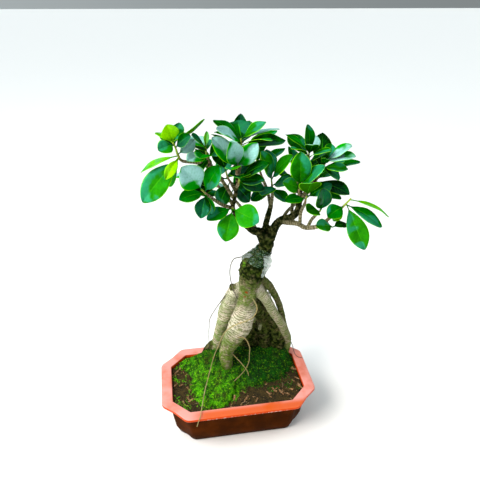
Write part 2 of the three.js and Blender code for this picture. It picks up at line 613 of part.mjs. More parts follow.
// The leaves of a shoot that has only a count, in a spiral up its stem.
function spiralLeaves(shoot, random) {
  const axis = pathThrough(shoot.stem).getTangent(0.5);
  const first = anyNormal(axis);
  const leaves = [];
  for (let i = 0; i < shoot.count; i++) {
    const at = (i + 0.5) / shoot.count;
    const around = first.clone().applyAxisAngle(axis, i * SPIRAL_STEP + SPIRAL_WANDER * random());
    const open = THREE.MathUtils.lerp(SPIRAL_OPENING[0], SPIRAL_OPENING[1], at);
    const length = SPIRAL_LENGTH[0] + SPIRAL_LENGTH[1] * random();
    const reach = axis.clone().multiplyScalar(Math.cos(open)).addScaledVector(around, Math.sin(open));
    const tip = stemPoint(shoot, at).addScaledVector(reach, length);
    const width = length * (SPIRAL_WIDTH[0] + SPIRAL_WIDTH[1] * random());
    leaves.push([at, tip.x, tip.y, tip.z, width, SPIRAL_TURN * (2 * random() - 1)]);
  }
  return leaves;
}

// The frame of a leaf: its arched midrib and the direction to its side.
function leafFrame(base, reach, turn, light) {
  const length = reach.length();
  const axis = reach.clone().divideScalar(length);
  const face = vector(light).addScaledVector(axis, -axis.dot(vector(light))).normalize();
  face.applyAxisAngle(axis, THREE.MathUtils.degToRad(turn));
  const crown = base.clone().addScaledVector(reach, 0.5).addScaledVector(face, 2 * LEAF_ARCH * length);
  const midrib = new THREE.QuadraticBezierCurve3(base, crown, base.clone().add(reach));
  return { midrib, side: axis.clone().cross(face) };
}

// Half the width of the blade at a share of its length, broadest past its middle.
function bladeShare(t) {
  return Math.sin(Math.PI * t ** BLADE_SKEW) ** BLADE_FULLNESS;
}

// The share of a leaf's whole length at a share of its blade.
function pastPetiole(station) {
  return PETIOLE_SHARE + (1 - PETIOLE_SHARE) * station;
}

function faceAt(frame, t) {
  const tangent = frame.midrib.getTangent(t);
  return frame.side.clone().cross(tangent).normalize();
}

function leafPoint(frame, t, halfWidth, lift) {
  const up = faceAt(frame, t);
  const raised = Math.abs(halfWidth) * LEAF_FOLD + lift;
  return frame.midrib.getPoint(t).addScaledVector(frame.side, halfWidth).addScaledVector(up, raised);
}

function leafGeometry(leaf) {
  const thick = LEAF_HALF_THICKNESS;
  const corners = [[-1, thick], [0, thick], [1, thick], [1, -thick], [0, -thick], [-1, -thick]];
  const ring = (t, half) => corners.map(([side, lift]) => leafPoint(leaf.frame, t, side * half, lift));
  const rings = [ring(0, PETIOLE_HALF_WIDTH)];
  for (const station of leaf.stations) {
    const half = Math.max(PETIOLE_HALF_WIDTH, (leaf.width / 2) * bladeShare(station));
    rings.push(ring(pastPetiole(station), half));
  }
  return loft(rings, null, leaf.frame.midrib.getPoint(1));
}

// Points over the blade that keep clear of the others.
function leafSamples(frame, width) {
  const samples = [];
  for (let i = 0; i < SAMPLE_ROWS; i++) {
    const station = SAMPLE_START + SAMPLE_STEP * i;
    for (const across of [-1, -0.5, 0, 0.5, 1]) {
      const half = (across * width * bladeShare(station)) / 2;
      samples.push({ station, point: leafPoint(frame, pastPetiole(station), half, 0) });
    }
  }
  return samples;
}

// A leaf's reach leaned by a step in one of the directions round it.
function leaned(reach, angle, direction) {
  const upright = new THREE.Vector3(0, 0, 1);
  const hinge = upright.clone().cross(reach).normalize();
  const phase = (2 * Math.PI * direction) / LEAN_DIRECTIONS;
  const step = THREE.MathUtils.degToRad(angle);
  const tipped = reach.clone().applyAxisAngle(hinge, step * Math.sin(phase));
  return tipped.applyAxisAngle(upright, step * Math.cos(phase));
}

// Points along the branches, the top of the trunk and every shoot's twig and stem.
function woodSamples() {
  const bare = [...BRANCHES.map(({ points }) => points), TRUNK.slice(0, TRUNK_TOP)];
  const paths = bare.map((limb) => ({ limb }));
  for (const shoot of SHOOTS) paths.push({ limb: stemLimb(shoot), owner: shoot.name });
  const samples = [];
  for (const { limb, owner } of paths) {
    const path = pathThrough(limb);
    const count = (limb.length - 1) * WOOD_SAMPLES;
    for (let i = 0; i <= count; i++) {
      samples.push({ point: path.getPoint(i / count), radius: radiusAt(limb, i / count), owner });
    }
  }
  return samples;
}

// The least room round a leaf, less what it must have: it is clear where this is above 0.
function spaceRound(samples, name, placed, wood) {
  let least = Infinity;
  for (const other of placed) {
    if (other.centre.distanceTo(samples[SAMPLE_CENTRE].point) > NEAR_LEAVES) continue;
    const from = other.name === name ? BASE_PART : 0;
    for (const a of samples) {
      if (a.station < from) continue;
      for (const b of other.samples) {
        if (b.station < from) continue;
        least = Math.min(least, a.point.distanceTo(b.point) - LEAF_CLEARANCE);
      }
    }
  }
  for (const a of samples) {
    for (const { point, radius, owner } of wood) {
      if (owner === name && a.station < BASE_PART) continue;
      least = Math.min(least, a.point.distanceTo(point) - radius - WOOD_CLEARANCE);
    }
  }
  return least;
}

// Every length, lean and direction that a leaf is tried at, the gentlest first.
function leafTries() {
  return LENGTH_STEPS.flatMap((scale) => LEAN_STEPS.flatMap((angle) => {
    const directions = angle ? LEAN_DIRECTIONS : 1;
    return Array.from({ length: directions }, (_, direction) => ({ scale, angle, direction }));
  }));
}

function leafTried(shoot, [at, x, y, z, width, turn], { scale, angle, direction }, placed, wood) {
  const base = stemPoint(shoot, at);
  const reach = leaned(vector([x, y, z]).sub(base), angle, direction).multiplyScalar(scale);
  const frame = leafFrame(base, reach, turn, shoot.light);
  const samples = leafSamples(frame, width * scale);
  const space = spaceRound(samples, shoot.name, placed, wood);
  const stations = width >= BROAD_LEAF ? BLADE_STATIONS : FEW_STATIONS;
  const centre = samples[SAMPLE_CENTRE].point;
  return { name: shoot.name, frame, width: width * scale, stations, samples, space, centre };
}

// Every leaf at the first try that is clear, or at the roomiest. A spiral leaf without room isn't grown.
function placedLeaves() {
  const random = seeded(SPIRAL_SEED);
  const wood = woodSamples();
  const tries = leafTries();
  const placed = [];
  for (const shoot of SHOOTS) {
    for (const listed of shoot.leaves ?? spiralLeaves(shoot, random)) {
      let best = null;
      for (const way of tries) {
        const leaf = leafTried(shoot, listed, way, placed, wood);
        if (!best || leaf.space > best.space) best = leaf;
        if (best.space > 0) break;
      }
      if (best.space > 0 || shoot.leaves) placed.push(best);
    }
  }
  return placed;
}

function shootSolid(shoot, leaves) {
  const stem = limbGeometry(stemLimb(shoot), TWIG_SIDES, { from: stemStart(shoot) });
  return largest(joined([stem, ...leaves.map(leafGeometry)]));
}

// The bonsai
const bonsai = new THREE.Group();
const plant = new THREE.Group();
plant.rotation.z = PLANT_TURN;
const holes = rootHoles();
bonsai.add(named("pot", pot(), TERRACOTTA, 0.5));
bonsai.add(named("soil", soil(holes), SOIL_BROWN, 0.95));
plant.add(named("moss", moss(holes), MOSS_GREEN, 0.95));
plant.add(named("tree", tree(), BARK, 0.85));
plant.add(named("graft_tape", graftTape(), TAPE_FILM, 0.3));
const leaves = placedLeaves();
for (const shoot of SHOOTS) {
  const own = leaves.filter((leaf) => leaf.name === shoot.name);
  plant.add(named(shoot.name, shootSolid(shoot, own), LEAF_GREEN, 0.35));
}
bonsai.add(plant);

export default bonsai;
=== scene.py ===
"""Ficus ginseng bonsai in its pot: every surface of it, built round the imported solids."""
import json
import logging
import math
from collections.abc import Callable, Iterator, Sequence
from dataclasses import dataclass
from enum import Enum

import bmesh
import bpy
import numpy as np
from mathutils import Matrix, Vector, noise

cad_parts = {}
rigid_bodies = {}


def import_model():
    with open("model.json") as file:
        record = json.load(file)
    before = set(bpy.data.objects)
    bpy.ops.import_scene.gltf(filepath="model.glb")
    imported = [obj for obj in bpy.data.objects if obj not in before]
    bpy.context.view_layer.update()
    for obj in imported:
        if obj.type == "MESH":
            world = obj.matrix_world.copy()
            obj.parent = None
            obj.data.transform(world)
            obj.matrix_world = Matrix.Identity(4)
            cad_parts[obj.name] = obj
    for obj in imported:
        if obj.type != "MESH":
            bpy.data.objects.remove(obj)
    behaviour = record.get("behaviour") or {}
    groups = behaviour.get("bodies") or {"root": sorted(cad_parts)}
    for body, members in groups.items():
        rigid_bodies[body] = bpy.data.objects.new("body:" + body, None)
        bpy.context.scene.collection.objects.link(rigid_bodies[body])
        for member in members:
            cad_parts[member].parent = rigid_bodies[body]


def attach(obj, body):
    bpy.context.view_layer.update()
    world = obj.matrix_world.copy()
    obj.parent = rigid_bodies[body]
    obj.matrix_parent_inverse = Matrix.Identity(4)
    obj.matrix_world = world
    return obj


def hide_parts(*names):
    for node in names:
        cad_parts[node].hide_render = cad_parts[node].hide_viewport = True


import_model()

log = logging.getLogger("bonsai")

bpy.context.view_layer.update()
MM = 0.001
PLANT_TURN = math.radians(-9.1)
BODY = "root"
NOISE_ROUGHNESS = 0.55
Colour = tuple[float, float, float]
Points = Sequence[Sequence[float]]


def in_frame(points: np.ndarray) -> np.ndarray:
    """Turns points of the plant's own axes, in millimetres, into the frame in metres.

    Args:
        points: rows of x, y and z.

    Returns:
        The same points in the frame.
    """
    c, s = math.cos(PLANT_TURN), math.sin(PLANT_TURN)
    turn = np.array([[c, -s, 0], [s, c, 0], [0, 0, 1]])
    return (np.asarray(points, float) @ turn.T) * MM


# Curves and limbs


def spanned(corners: Sequence[np.ndarray], w: np.ndarray) -> np.ndarray:
    """Points of the smooth curve through four corners, between the middle two.

    Args:
        corners: four arrays of rows, one for each corner in turn.
        w: a column with how far along each point is, from 0 to 1.

    Returns:
        A row for each point.
    """
    p0, p1, p2, p3 = corners
    t0, t1 = (p2 - p0) / 2, (p3 - p1) / 2
    return p1 + t0 * w + (3 * (p2 - p1) - 2 * t0 - t1) * w**2 + (2 * (p1 - p2) + t0 + t1) * w**3


class Path:
    """A smooth curve through every one of its points."""

    def __init__(self, points: Points) -> None:
        """Keeps the points, and one more past each end that carries on its line.

        Args:
            points: the points that the curve goes through, of which only x, y and z count.
        """
        inner = np.array([p[:3] for p in points], float)
        self.spans = len(inner) - 1
        self.points = np.vstack([2 * inner[0] - inner[1], inner, 2 * inner[-1] - inner[-2]])

    def at(self, share: float | np.ndarray) -> np.ndarray:
        """Points at shares of the curve.

        Args:
            share: one share from 0 to 1, or an array of them.

        Returns:
            A row for each share.
        """
        place = np.clip(np.atleast_1d(share), 0, 1) * self.spans
        low = np.minimum(place.astype(int), self.spans - 1)
        return spanned([self.points[low + k] for k in range(4)], (place - low)[:, None])

    def tangent(self, share: float | np.ndarray) -> np.ndarray:
        """Unit directions of the curve at shares of it.

        Args:
            share: one share from 0 to 1, or an array of them.

        Returns:
            A row for each share.
        """
        share = np.atleast_1d(share)
        step = self.at(np.minimum(share + 1e-4, 1)) - self.at(np.maximum(share - 1e-4, 0))
        return step / np.linalg.norm(step, axis=1)[:, None]


def unit(v: np.ndarray) -> np.ndarray:
    """A vector at length 1."""
    return v / np.linalg.norm(v)


def turned(v: np.ndarray, axis: np.ndarray, angle: float) -> np.ndarray:
    """A vector turned about a unit axis by an angle in radians."""
    c, s = math.cos(angle), math.sin(angle)
    return v * c + np.cross(axis, v) * s + axis * float(axis @ v) * (1 - c)


def any_normal(tangent: np.ndarray) -> np.ndarray:
    """A direction square to a tangent, level wherever the tangent isn't nearly upright."""
    helper = np.array([1.0, 0, 0]) if abs(tangent[2]) > 0.9 else np.array([0, 0, 1.0])
    return unit(np.cross(helper, tangent))


@dataclass(frozen=True)
class Limb:
    """A round limb: centres with a radius, in millimetres."""

    points: Points

    def path(self) -> Path:
        """The limb's centreline."""
        return Path(self.points)

    def radius(self, share: float | np.ndarray) -> np.ndarray:
        """Its radius at shares of its length."""
        radii = [p[3] for p in self.points]
        return np.interp(np.atleast_1d(share) * (len(radii) - 1), range(len(radii)), radii)

    def length(self) -> float:
        """The length of its centreline."""
        line = self.path().at(np.linspace(0, 1, 60))
        return float(np.linalg.norm(np.diff(line, axis=0), axis=1).sum())


class Shell:
    """A mesh under construction: points in the plant's axes with attributes, and faces."""

    def __init__(self) -> None:
        """Starts empty."""
        self.points: list[np.ndarray] = []
        self.faces: list[tuple[int, ...]] = []
        self.slots: list[int] = []
        self.looks: list[np.ndarray] = []
        self.flats: list[np.ndarray] = []
        self.count = 0

    def add(
        self,
        points: np.ndarray,
        faces: Sequence[tuple[int, ...]],
        slot: int = 0,
        look: np.ndarray | None = None,
        flat: np.ndarray | None = None,
    ) -> None:
        """Adds one closed part.

        Args:
            points: its points.
            faces: its faces, by index in its own points.
            slot: its material's place.
            look: four numbers a point for its material.
            flat: two numbers a point, its place on the surface.
        """
        n = len(points)
        self.points.append(points)
        self.faces.extend(tuple(i + self.count for i in f) for f in faces)
        self.slots.extend([slot] * len(faces))
        self.looks.append(np.zeros((n, 4)) if look is None else look)
        self.flats.append(np.zeros((n, 2)) if flat is None else flat)
        self.count += n

    def loft(self, rings: Sequence[np.ndarray]) -> None:
        """Adds a closed part through rings of as many points each, with a face over each end.

        Args:
            rings: the rings in order, each as rows of points in millimetres.
        """
        count, last = len(rings[0]), (len(rings) - 1) * len(rings[0])
        faces: list[tuple[int, ...]] = []
        for low in range(0, last, count):
            for i in range(count):
                j = (i + 1) % count
                faces.append((low + i, low + j, low + count + j, low + count + i))
        faces += [tuple(range(count))[::-1], tuple(range(last, last + count))]
        self.add(np.vstack(rings), faces)

    def sheet(
        self, rows: Sequence[np.ndarray], looped: bool, look: np.ndarray, flat: np.ndarray | None = None
    ) -> None:
        """Adds two skins, joined at their edges into a thin closed sheet.

        Args:
            rows: the rows of the outer skin, then those of the inner one.
            looped: whether each row closes on itself.
            look: four numbers a point for its material.
            flat: two numbers a point, its place on the surface.
        """
        count = len(rows[0])
        base = len(rows) // 2 * count
        top, edge = base - count, count - 1
        faces: list[tuple[int, ...]] = []
        for low in range(0, top, count):
            for i in range(count if looped else edge):
                j = (i + 1) % count
                a, b, c, d = low + i, low + j, low + count + j, low + count + i
                faces += [(a, b, c, d), (base + d, base + c, base + b, base + a)]
        for i in range(count if looped else edge):
            j = (i + 1) % count
            faces += [(j, i, base + i, base + j), (top + i, top + j, base + top + j, base + top + i)]
        if not looped:
            for a in range(0, top, count):
                b = a + count
                faces.append((a, b, base + b, base + a))
                faces.append((b + edge, a + edge, base + a + edge, base + b + edge))
        self.add(np.vstack(rows), faces, 0, look, flat)

    def tube(
        self,
        limb: Limb,
        sides: int,
        step: float,
        start: float = 0.0,
        end: float = 1.0,
        slot: int = 0,
        taper: float = 1.0,
        look: Callable[[float], Sequence[float]] | None = None,
    ) -> None:
        """Adds a limb as a closed tube.

        Args:
            limb: what it follows.
            sides: points round it.
            step: the distance between its rings in millimetres.
            start: the share of the limb that it starts at.
            end: the share that it ends at.
            slot: its material's place.
            taper: the radius of its last ring as a share of the limb's.
            look: gives a ring's four numbers from its share of the tube.
        """
        path = limb.path()
        rings = max(2, round(limb.length() * (end - start) / step) + 1)
        shares = np.linspace(start, end, rings)
        centres, tangents = path.at(shares), path.tangent(shares)
        radii = limb.radius(shares)
        radii[-1] *= taper
        normal = any_normal(tangents[0])
        angles = 2 * math.pi * np.arange(sides) / sides
        points, looks, flats = [], [], []
        for r in range(rings):
            normal = unit(normal - tangents[r] * float(normal @ tangents[r]))
            across = np.cross(tangents[r], normal)
            spokes = np.outer(np.cos(angles), normal) + np.outer(np.sin(angles), across)
            points.append(centres[r] + spokes * radii[r])
            share = r / (rings - 1)
            looks += [list(look(share)) if look else [0, 0, 0, 0]] * sides
            flats += [[k / sides, share] for k in range(sides)]
        points.append(centres[[0, -1]])
        looks += [looks[0], looks[-1]]
        flats += [flats[0], flats[-1]]
        first, last = rings * sides, rings * sides + 1
        faces: list[tuple[int, ...]] = []
        for k in range(sides):
            j = (k + 1) % sides
            for r in range(rings - 1):
                low, high = r * sides, (r + 1) * sides
                faces.append((low + k, low + j, high + j, high + k))
            faces.append((first, j, k))
            faces.append((last, (rings - 1) * sides + k, (rings - 1) * sides + j))
        self.add(np.vstack(points), faces, slot, np.array(looks, float), np.array(flats, float))

    def mesh(self, name: str, finishes: Sequence[bpy.types.Material], plant: bool = True) -> bpy.types.Mesh:
        """Makes the mesh in the frame.

        Args:
            name: the mesh's name.
            finishes: its materials in order.
            plant: whether the points are in the plant's axes.

        Returns:
            The mesh, with its attributes and materials.
        """
        points = np.vstack(self.points)
        points = in_frame(points) if plant else points * MM
        mesh = bpy.data.meshes.new(name)
        mesh.from_pydata(points.tolist(), [], self.faces)
        look = mesh.color_attributes.new("look", "FLOAT_COLOR", "POINT")
        look.data.foreach_set("color", np.vstack(self.looks).astype(np.float32).ravel())
        flat = mesh.attributes.new("flat", "FLOAT2", "POINT")
        flat.data.foreach_set("vector", np.vstack(self.flats).astype(np.float32).ravel())
        mesh.polygons.foreach_set("material_index", self.slots)
        mesh.polygons.foreach_set("use_smooth", [True] * len(self.faces))
        for finish in finishes:
            mesh.materials.append(finish)
        mesh.update()
        return mesh


def placed(mesh: bpy.types.Mesh, name: str) -> bpy.types.Object:
    """Puts a mesh into the scene as an object at the origin.

    Args:
        mesh: the mesh, with its place in its points.
        name: the object's name.

    Returns:
        The object.
    """
    piece = bpy.data.objects.new(name, mesh)
    bpy.context.scene.collection.objects.link(piece)
    return piece


def settled(piece: bpy.types.Object) -> bpy.types.Object:
    """Turns an object with modifiers into a plain mesh of the same name.

    Args:
        piece: the object with its modifiers.

    Returns:
        The object with the result as its mesh and no modifiers.
    """
    graph = bpy.context.evaluated_depsgraph_get()
    shaped = piece.evaluated_get(graph)
    mesh = bpy.data.meshes.new_from_object(shaped, preserve_all_data_layers=True, depsgraph=graph)
    piece.modifiers.clear()
    piece.data = mesh
    return piece


def declared(piece: bpy.types.Object, slot: str, *nodes: str) -> bpy.types.Object:
    """Fixes a finished piece to the body, hides the CAD nodes that it stands for, and reports it.

    Args:
        piece: the finished object.
        slot: the slot of its finish; not used.
        nodes: the CAD nodes that it stands for.

    Returns:
        The same object.
    """
    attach(piece, BODY)
    if nodes:
        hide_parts(*nodes)
    log.info("%s: %d faces", piece.name, len(piece.data.polygons))
    return piece


def rows_of(mesh: bpy.types.Mesh, what: str) -> np.ndarray:
    """A vector of every vertex of a mesh, as rows.

    Args:
        mesh: the mesh.
        what: "co" or "normal".

    Returns:
        A row of three numbers for each vertex.
    """
    flat = np.zeros(len(mesh.vertices) * 3)
    mesh.vertices.foreach_get(what, flat)
    return flat.reshape(-1, 3)


def positions(mesh: bpy.types.Mesh) -> np.ndarray:
    """The vertices of a mesh."""
    return rows_of(mesh, "co")


def normals(mesh: bpy.types.Mesh) -> np.ndarray:
    """The vertex normals of a mesh."""
    return rows_of(mesh, "normal")


def pushed(mesh: bpy.types.Mesh, depth: np.ndarray) -> None:
    """Moves every vertex along its normal by a depth in metres.

    Args:
        mesh: the mesh to change.
        depth: a depth for each vertex, outwards.
    """
    moved = positions(mesh) + normals(mesh) * depth[:, None]
    mesh.vertices.foreach_set("co", moved.ravel())
    mesh.update()


def smoothed(mesh: bpy.types.Mesh) -> None:
    """Makes every face of a mesh smooth."""
    mesh.polygons.foreach_set("use_smooth", [True] * len(mesh.polygons))


def coated(mesh: bpy.types.Mesh, finish: bpy.types.Material) -> None:
    """Gives a mesh smooth faces and one finish.

    Args:
        mesh: the mesh to change.
        finish: its only material.
    """
    mesh.materials.clear()
    mesh.materials.append(finish)
    smoothed(mesh)


def outwards(mesh: bpy.types.Mesh) -> None:
    """Turns every face of a closed mesh outwards.

    Args:
        mesh: the mesh to change.
    """
    made = bmesh.new()
    made.from_mesh(mesh)
    bmesh.ops.recalc_face_normals(made, faces=made.faces)
    made.to_mesh(mesh)
    made.free()


def covered(mesh: bpy.types.Mesh, share: np.ndarray) -> None:
    """Writes how densely shapes are spread at every vertex, from 0 to 1."""
    cover = mesh.attributes.get("cover") or mesh.attributes.new("cover", "FLOAT", "POINT")
    cover.data.foreach_set("value", share.astype(np.float32))


def ripples(places: np.ndarray, *waves: Sequence[float], start: float = 0.0) -> np.ndarray:
    """Sums of smooth noise at places on the level.

    Args:
        places: rows of x and y in millimetres.
        waves: the strength, the level in the noise and the size in millimetres of each.
        start: the number that they are added to.

    Returns:
        A number for each place.
    """
    return np.array([
        sum((strength * noise.noise(Vector((*p, level)) / size) for strength, level, size in waves), start)
        for p in places
    ])


def lumps(points: np.ndarray, size: float, seed: float) -> np.ndarray:
    """Smooth noise from -1 to 1 at points in metres, with lumps of a size in metres."""
    shift = Vector((seed, seed * 0.7, -seed))
    return np.array([noise.noise(Vector(p) / size + shift) for p in points])


# Finishes


class Nodes:
    """The nodes of one tree while they are drawn."""

    def __init__(self, tree: bpy.types.NodeTree) -> None:
        """Takes up a tree."""
        self.nodes = tree.nodes
        self.links = tree.links

    def put(self, socket: bpy.types.NodeSocket, value: object) -> None:
        """Links a socket to a node's output, or sets it to a value.

        Args:
            socket: the input to fill.
            value: a socket to link, or a value.
        """
        if isinstance(value, bpy.types.NodeSocket):
            self.links.new(value, socket)
        elif isinstance(value, tuple) and len(value) == 3 and socket.type == "RGBA":
            socket.default_value = (*value, 1)
        else:
            socket.default_value = value

    def node(self, kind: str, inputs: dict | None = None, **settings: object) -> bpy.types.Node:
        """Adds a node.

        Args:
            kind: its Blender type.
            inputs: values or sockets for its inputs.
            settings: its own properties.

        Returns:
            The node.
        """
        made = self.nodes.new(kind)
        for key, value in settings.items():
            setattr(made, key, value)
        for key, value in (inputs or {}).items():
            self.put(made.inputs[key], value)
        return made

    def sum(self, kind: str, a: object, b: object = 0.0, clamp: bool = False) -> bpy.types.NodeSocket:
        """A sum of one number or two, such as SINE or MAXIMUM."""
        return self.node("ShaderNodeMath", {0: a, 1: b}, operation=kind, use_clamp=clamp).outputs[0]

    def times(self, first: object, *others: object) -> bpy.types.NodeSocket:
        """The product of numbers.

        Args:
            first: a number or a socket.
            others: more of them, multiplied in order.

        Returns:
            The product of all.
        """
        for other in others:
            first = self.sum("MULTIPLY", first, other)
        return first

    def plus(self, a: object, b: object, clamp: bool = False) -> bpy.types.NodeSocket:
        """Two numbers added, kept from 0 to 1 where clamped."""
        return self.sum("ADD", a, b, clamp)

    def less(self, a: object, b: object, clamp: bool = False) -> bpy.types.NodeSocket:
        """The second number taken from the first, kept from 0 to 1 where clamped."""
        return self.sum("SUBTRACT", a, b, clamp)

    def away(self, a: object, b: object) -> bpy.types.NodeSocket:
        """How far two numbers lie apart."""
        return self.sum("ABSOLUTE", self.less(a, b))

    def halved(self, value: object) -> bpy.types.NodeSocket:
        """A number from -1 to 1 as one from 0 to 1."""
        return self.node("ShaderNodeMath", {0: value, 1: 0.5, 2: 0.5}, operation="MULTIPLY_ADD").outputs[0]

    def ramp(self, value: object, first: float, last: float) -> bpy.types.NodeSocket:
        """A number from 0 to 1 as one that runs between two others."""
        return self.node("ShaderNodeMapRange", {"Value": value, "To Min": first, "To Max": last}).outputs[0]


class Sketch(Nodes):
    """The nodes of one material while they are drawn."""

    def __init__(self, name: str) -> None:
        """Starts a material with its shader.

        Args:
            name: the material's name.
        """
        self.material = bpy.data.materials.new(name)
        self.material.use_nodes = True
        super().__init__(self.material.node_tree)
        self.shader = self.nodes["Principled BSDF"]
        self._place = None

    def place(self) -> bpy.types.NodeSocket:
        """The object coordinates.

        Returns:
            The socket, from one node for the whole material.
        """
        if self._place is None:
            self._place = self.node("ShaderNodeTexCoord").outputs["Object"]
        return self._place

    def attribute(self, name: str) -> bpy.types.Node:
        """An attribute of the mesh."""
        return self.node("ShaderNodeAttribute", attribute_name=name)

    def parts(self, socket: bpy.types.NodeSocket) -> list[bpy.types.NodeSocket]:
        """The three parts of a vector or a colour."""
        return list(self.node("ShaderNodeSeparateXYZ", {0: socket}).outputs)

    def noise(self, scale: float, detail: float = 3, stretch: tuple = (1, 1, 1)) -> bpy.types.NodeSocket:
        """Noise from 0 to 1 on the object coordinates.

        Args:
            scale: its lumps in a metre.
            detail: its octaves.
            stretch: how much denser it is along each axis.

        Returns:
            The noise.
        """
        where = self.place()
        if stretch != (1, 1, 1):
            where = self.node("ShaderNodeMapping", {"Vector": where, "Scale": stretch}).outputs[0]
        inputs = {"Vector": where, "Scale": scale, "Detail": detail, "Roughness": NOISE_ROUGHNESS}
        return self.node("ShaderNodeTexNoise", inputs).outputs[0]

    def band(self, value: object, low: float, high: float) -> bpy.types.NodeSocket:
        """0 below the low value and 1 above the high one, or the other way where low is above high.

        Args:
            value: the number to judge.
            low: where the band starts.
            high: where it ends.

        Returns:
            A number from 0 to 1, eased at both ends.
        """
        flip = low > high
        lo, hi = (high, low) if flip else (low, high)
        ends = {"From Min": lo, "From Max": hi, "To Min": float(flip), "To Max": float(not flip)}
        inputs = {"Value": value, **ends}
        return self.node("ShaderNodeMapRange", inputs, interpolation_type="SMOOTHSTEP").outputs[0]

    def flecks(self, scale: float, detail: float, low: float, high: float) -> bpy.types.NodeSocket:
        """Patches of noise: its lumps in a metre, its octaves, and the band that makes them."""
        return self.band(self.noise(scale, detail), low, high)

    def blend(self, share: object, a: object, b: object) -> bpy.types.NodeSocket:
        """A mix of two colours.

        Args:
            share: how much of the second.
            a: the first colour.
            b: the second.

        Returns:
            The mixed colour.
        """
        made = self.node("ShaderNodeMix", data_type="RGBA")
        for k, value in ((0, share), (6, a), (7, b)):
            self.put(made.inputs[k], value)
        return made.outputs[2]

    def bump(
        self, height: object, depth: float, before: object = None, strength: float = 1.0
    ) -> bpy.types.NodeSocket:
        """A bumped normal from a height of 0 to 1.

        Args:
            height: the height.
            depth: what 1 stands for in metres.
            before: a normal that is already bumped.
            strength: how much of it shows.

        Returns:
            The normal.
        """
        inputs = {"Height": height, "Distance": depth, "Strength": strength}
        if before is not None:
            inputs["Normal"] = before
        return self.node("ShaderNodeBump", inputs).outputs[0]

    def finish(self, **inputs: object) -> bpy.types.Material:
        """Sets the shader's own sockets, by name with _ for a space, and returns the material.

        Args:
            inputs: a value or a socket for each of the shader's inputs.

        Returns:
            The material.
        """
        for key, value in inputs.items():
            self.put(self.shader.inputs[key.replace("_", " ")], value)
        return self.material


@dataclass(frozen=True)
class MouldedPlastic:
    """The pot's satin terracotta plastic, dusty on top, with painted shade on the rim's sides and under the
    rim, and darker towards the bottom.
    """

    top: Colour = (0.62, 0.086, 0.007)
    # edge: the darker orange that the rim's sides take as painted shade, also the colour of the specks on top
    edge: Colour = (0.56, 0.05, 0.003)
    # body and stained_in_shade: the plastic under the rim, darkened as painted shade
    body: Colour = (0.036, 0.008, 0.0003)
    stained_in_shade: Colour = (0.072, 0.015, 0.0006)
    dust: Colour = (0.79, 0.315, 0.275)
    worn: Colour = (0.8, 0.55, 0.45)
    darker_bottom: Colour = (0.02, 0.006, 0.001)
    lip_at: float = 0.0548
    gloss_tint: tuple[float, float, float, float] = (1.0, 0.45, 0.2, 1)

    def material(self) -> bpy.types.Material:
        """Makes the material.

        Returns:
            The pot's plastic.
        """
        s = Sketch("terracotta_plastic")
        x, y, z = s.parts(s.place())
        fine = s.noise(900, 4)
        wide = s.noise(28, 3)
        normal = s.node("ShaderNodeNewGeometry").outputs["Normal"]
        up = s.band(s.parts(normal)[2], 0.35, 0.95)
        handled = s.times(s.band(y, -0.05, -0.06), s.band(x, -0.07, -0.045))
        dusty = s.times(s.band(wide, 0.2, 0.55), s.less(1.0, s.times(handled, 0.9)))
        top = s.blend(dusty, self.top, self.dust)
        specks = s.flecks(420, 2, 0.66, 0.74)
        top = s.blend(s.times(specks, 0.35), top, self.edge)
        # Partly painted shade: faces that don't point up take the darker edge colour, and the dust lies only
        # on top
        rim = s.blend(up, self.edge, top)
        # Painted shade: under the rim the plastic takes the dark body colours, with paler stain flecks
        under = s.band(z, 0.0555, 0.0525)
        shaded_body = s.blend(s.flecks(60, 4, 0.35, 0.75), self.body, self.stained_in_shade)
        colour = s.blend(under, rim, shaded_body)
        # Darker towards the bottom
        towards_bottom = s.times(s.band(z, 0.012, 0.0), 0.5)
        colour = s.blend(towards_bottom, colour, self.darker_bottom)
        lip = s.band(s.away(z, self.lip_at), 0.0014, 0.0006)
        middle = s.band(s.away(x, 0.004), 0.056, 0.046)
        scuffed = s.times(lip, middle, s.band(y, -0.06, -0.0625))
        scuffed = s.times(scuffed, s.flecks(330, 4, 0.5, 0.6))
        colour = s.blend(s.times(scuffed, 0.8), colour, self.worn)
        rough = s.ramp(wide, 0.36, 0.55)
        bumped = s.bump(fine, 0.00006, s.bump(wide, 0.0005, strength=0.4), 0.5)
        gloss = s.ramp(under, 0.2, 0.008)
        return s.finish(Base_Color=colour, Roughness=rough, Normal=bumped, Specular_IOR_Level=gloss,
                        Specular_Tint=self.gloss_tint)


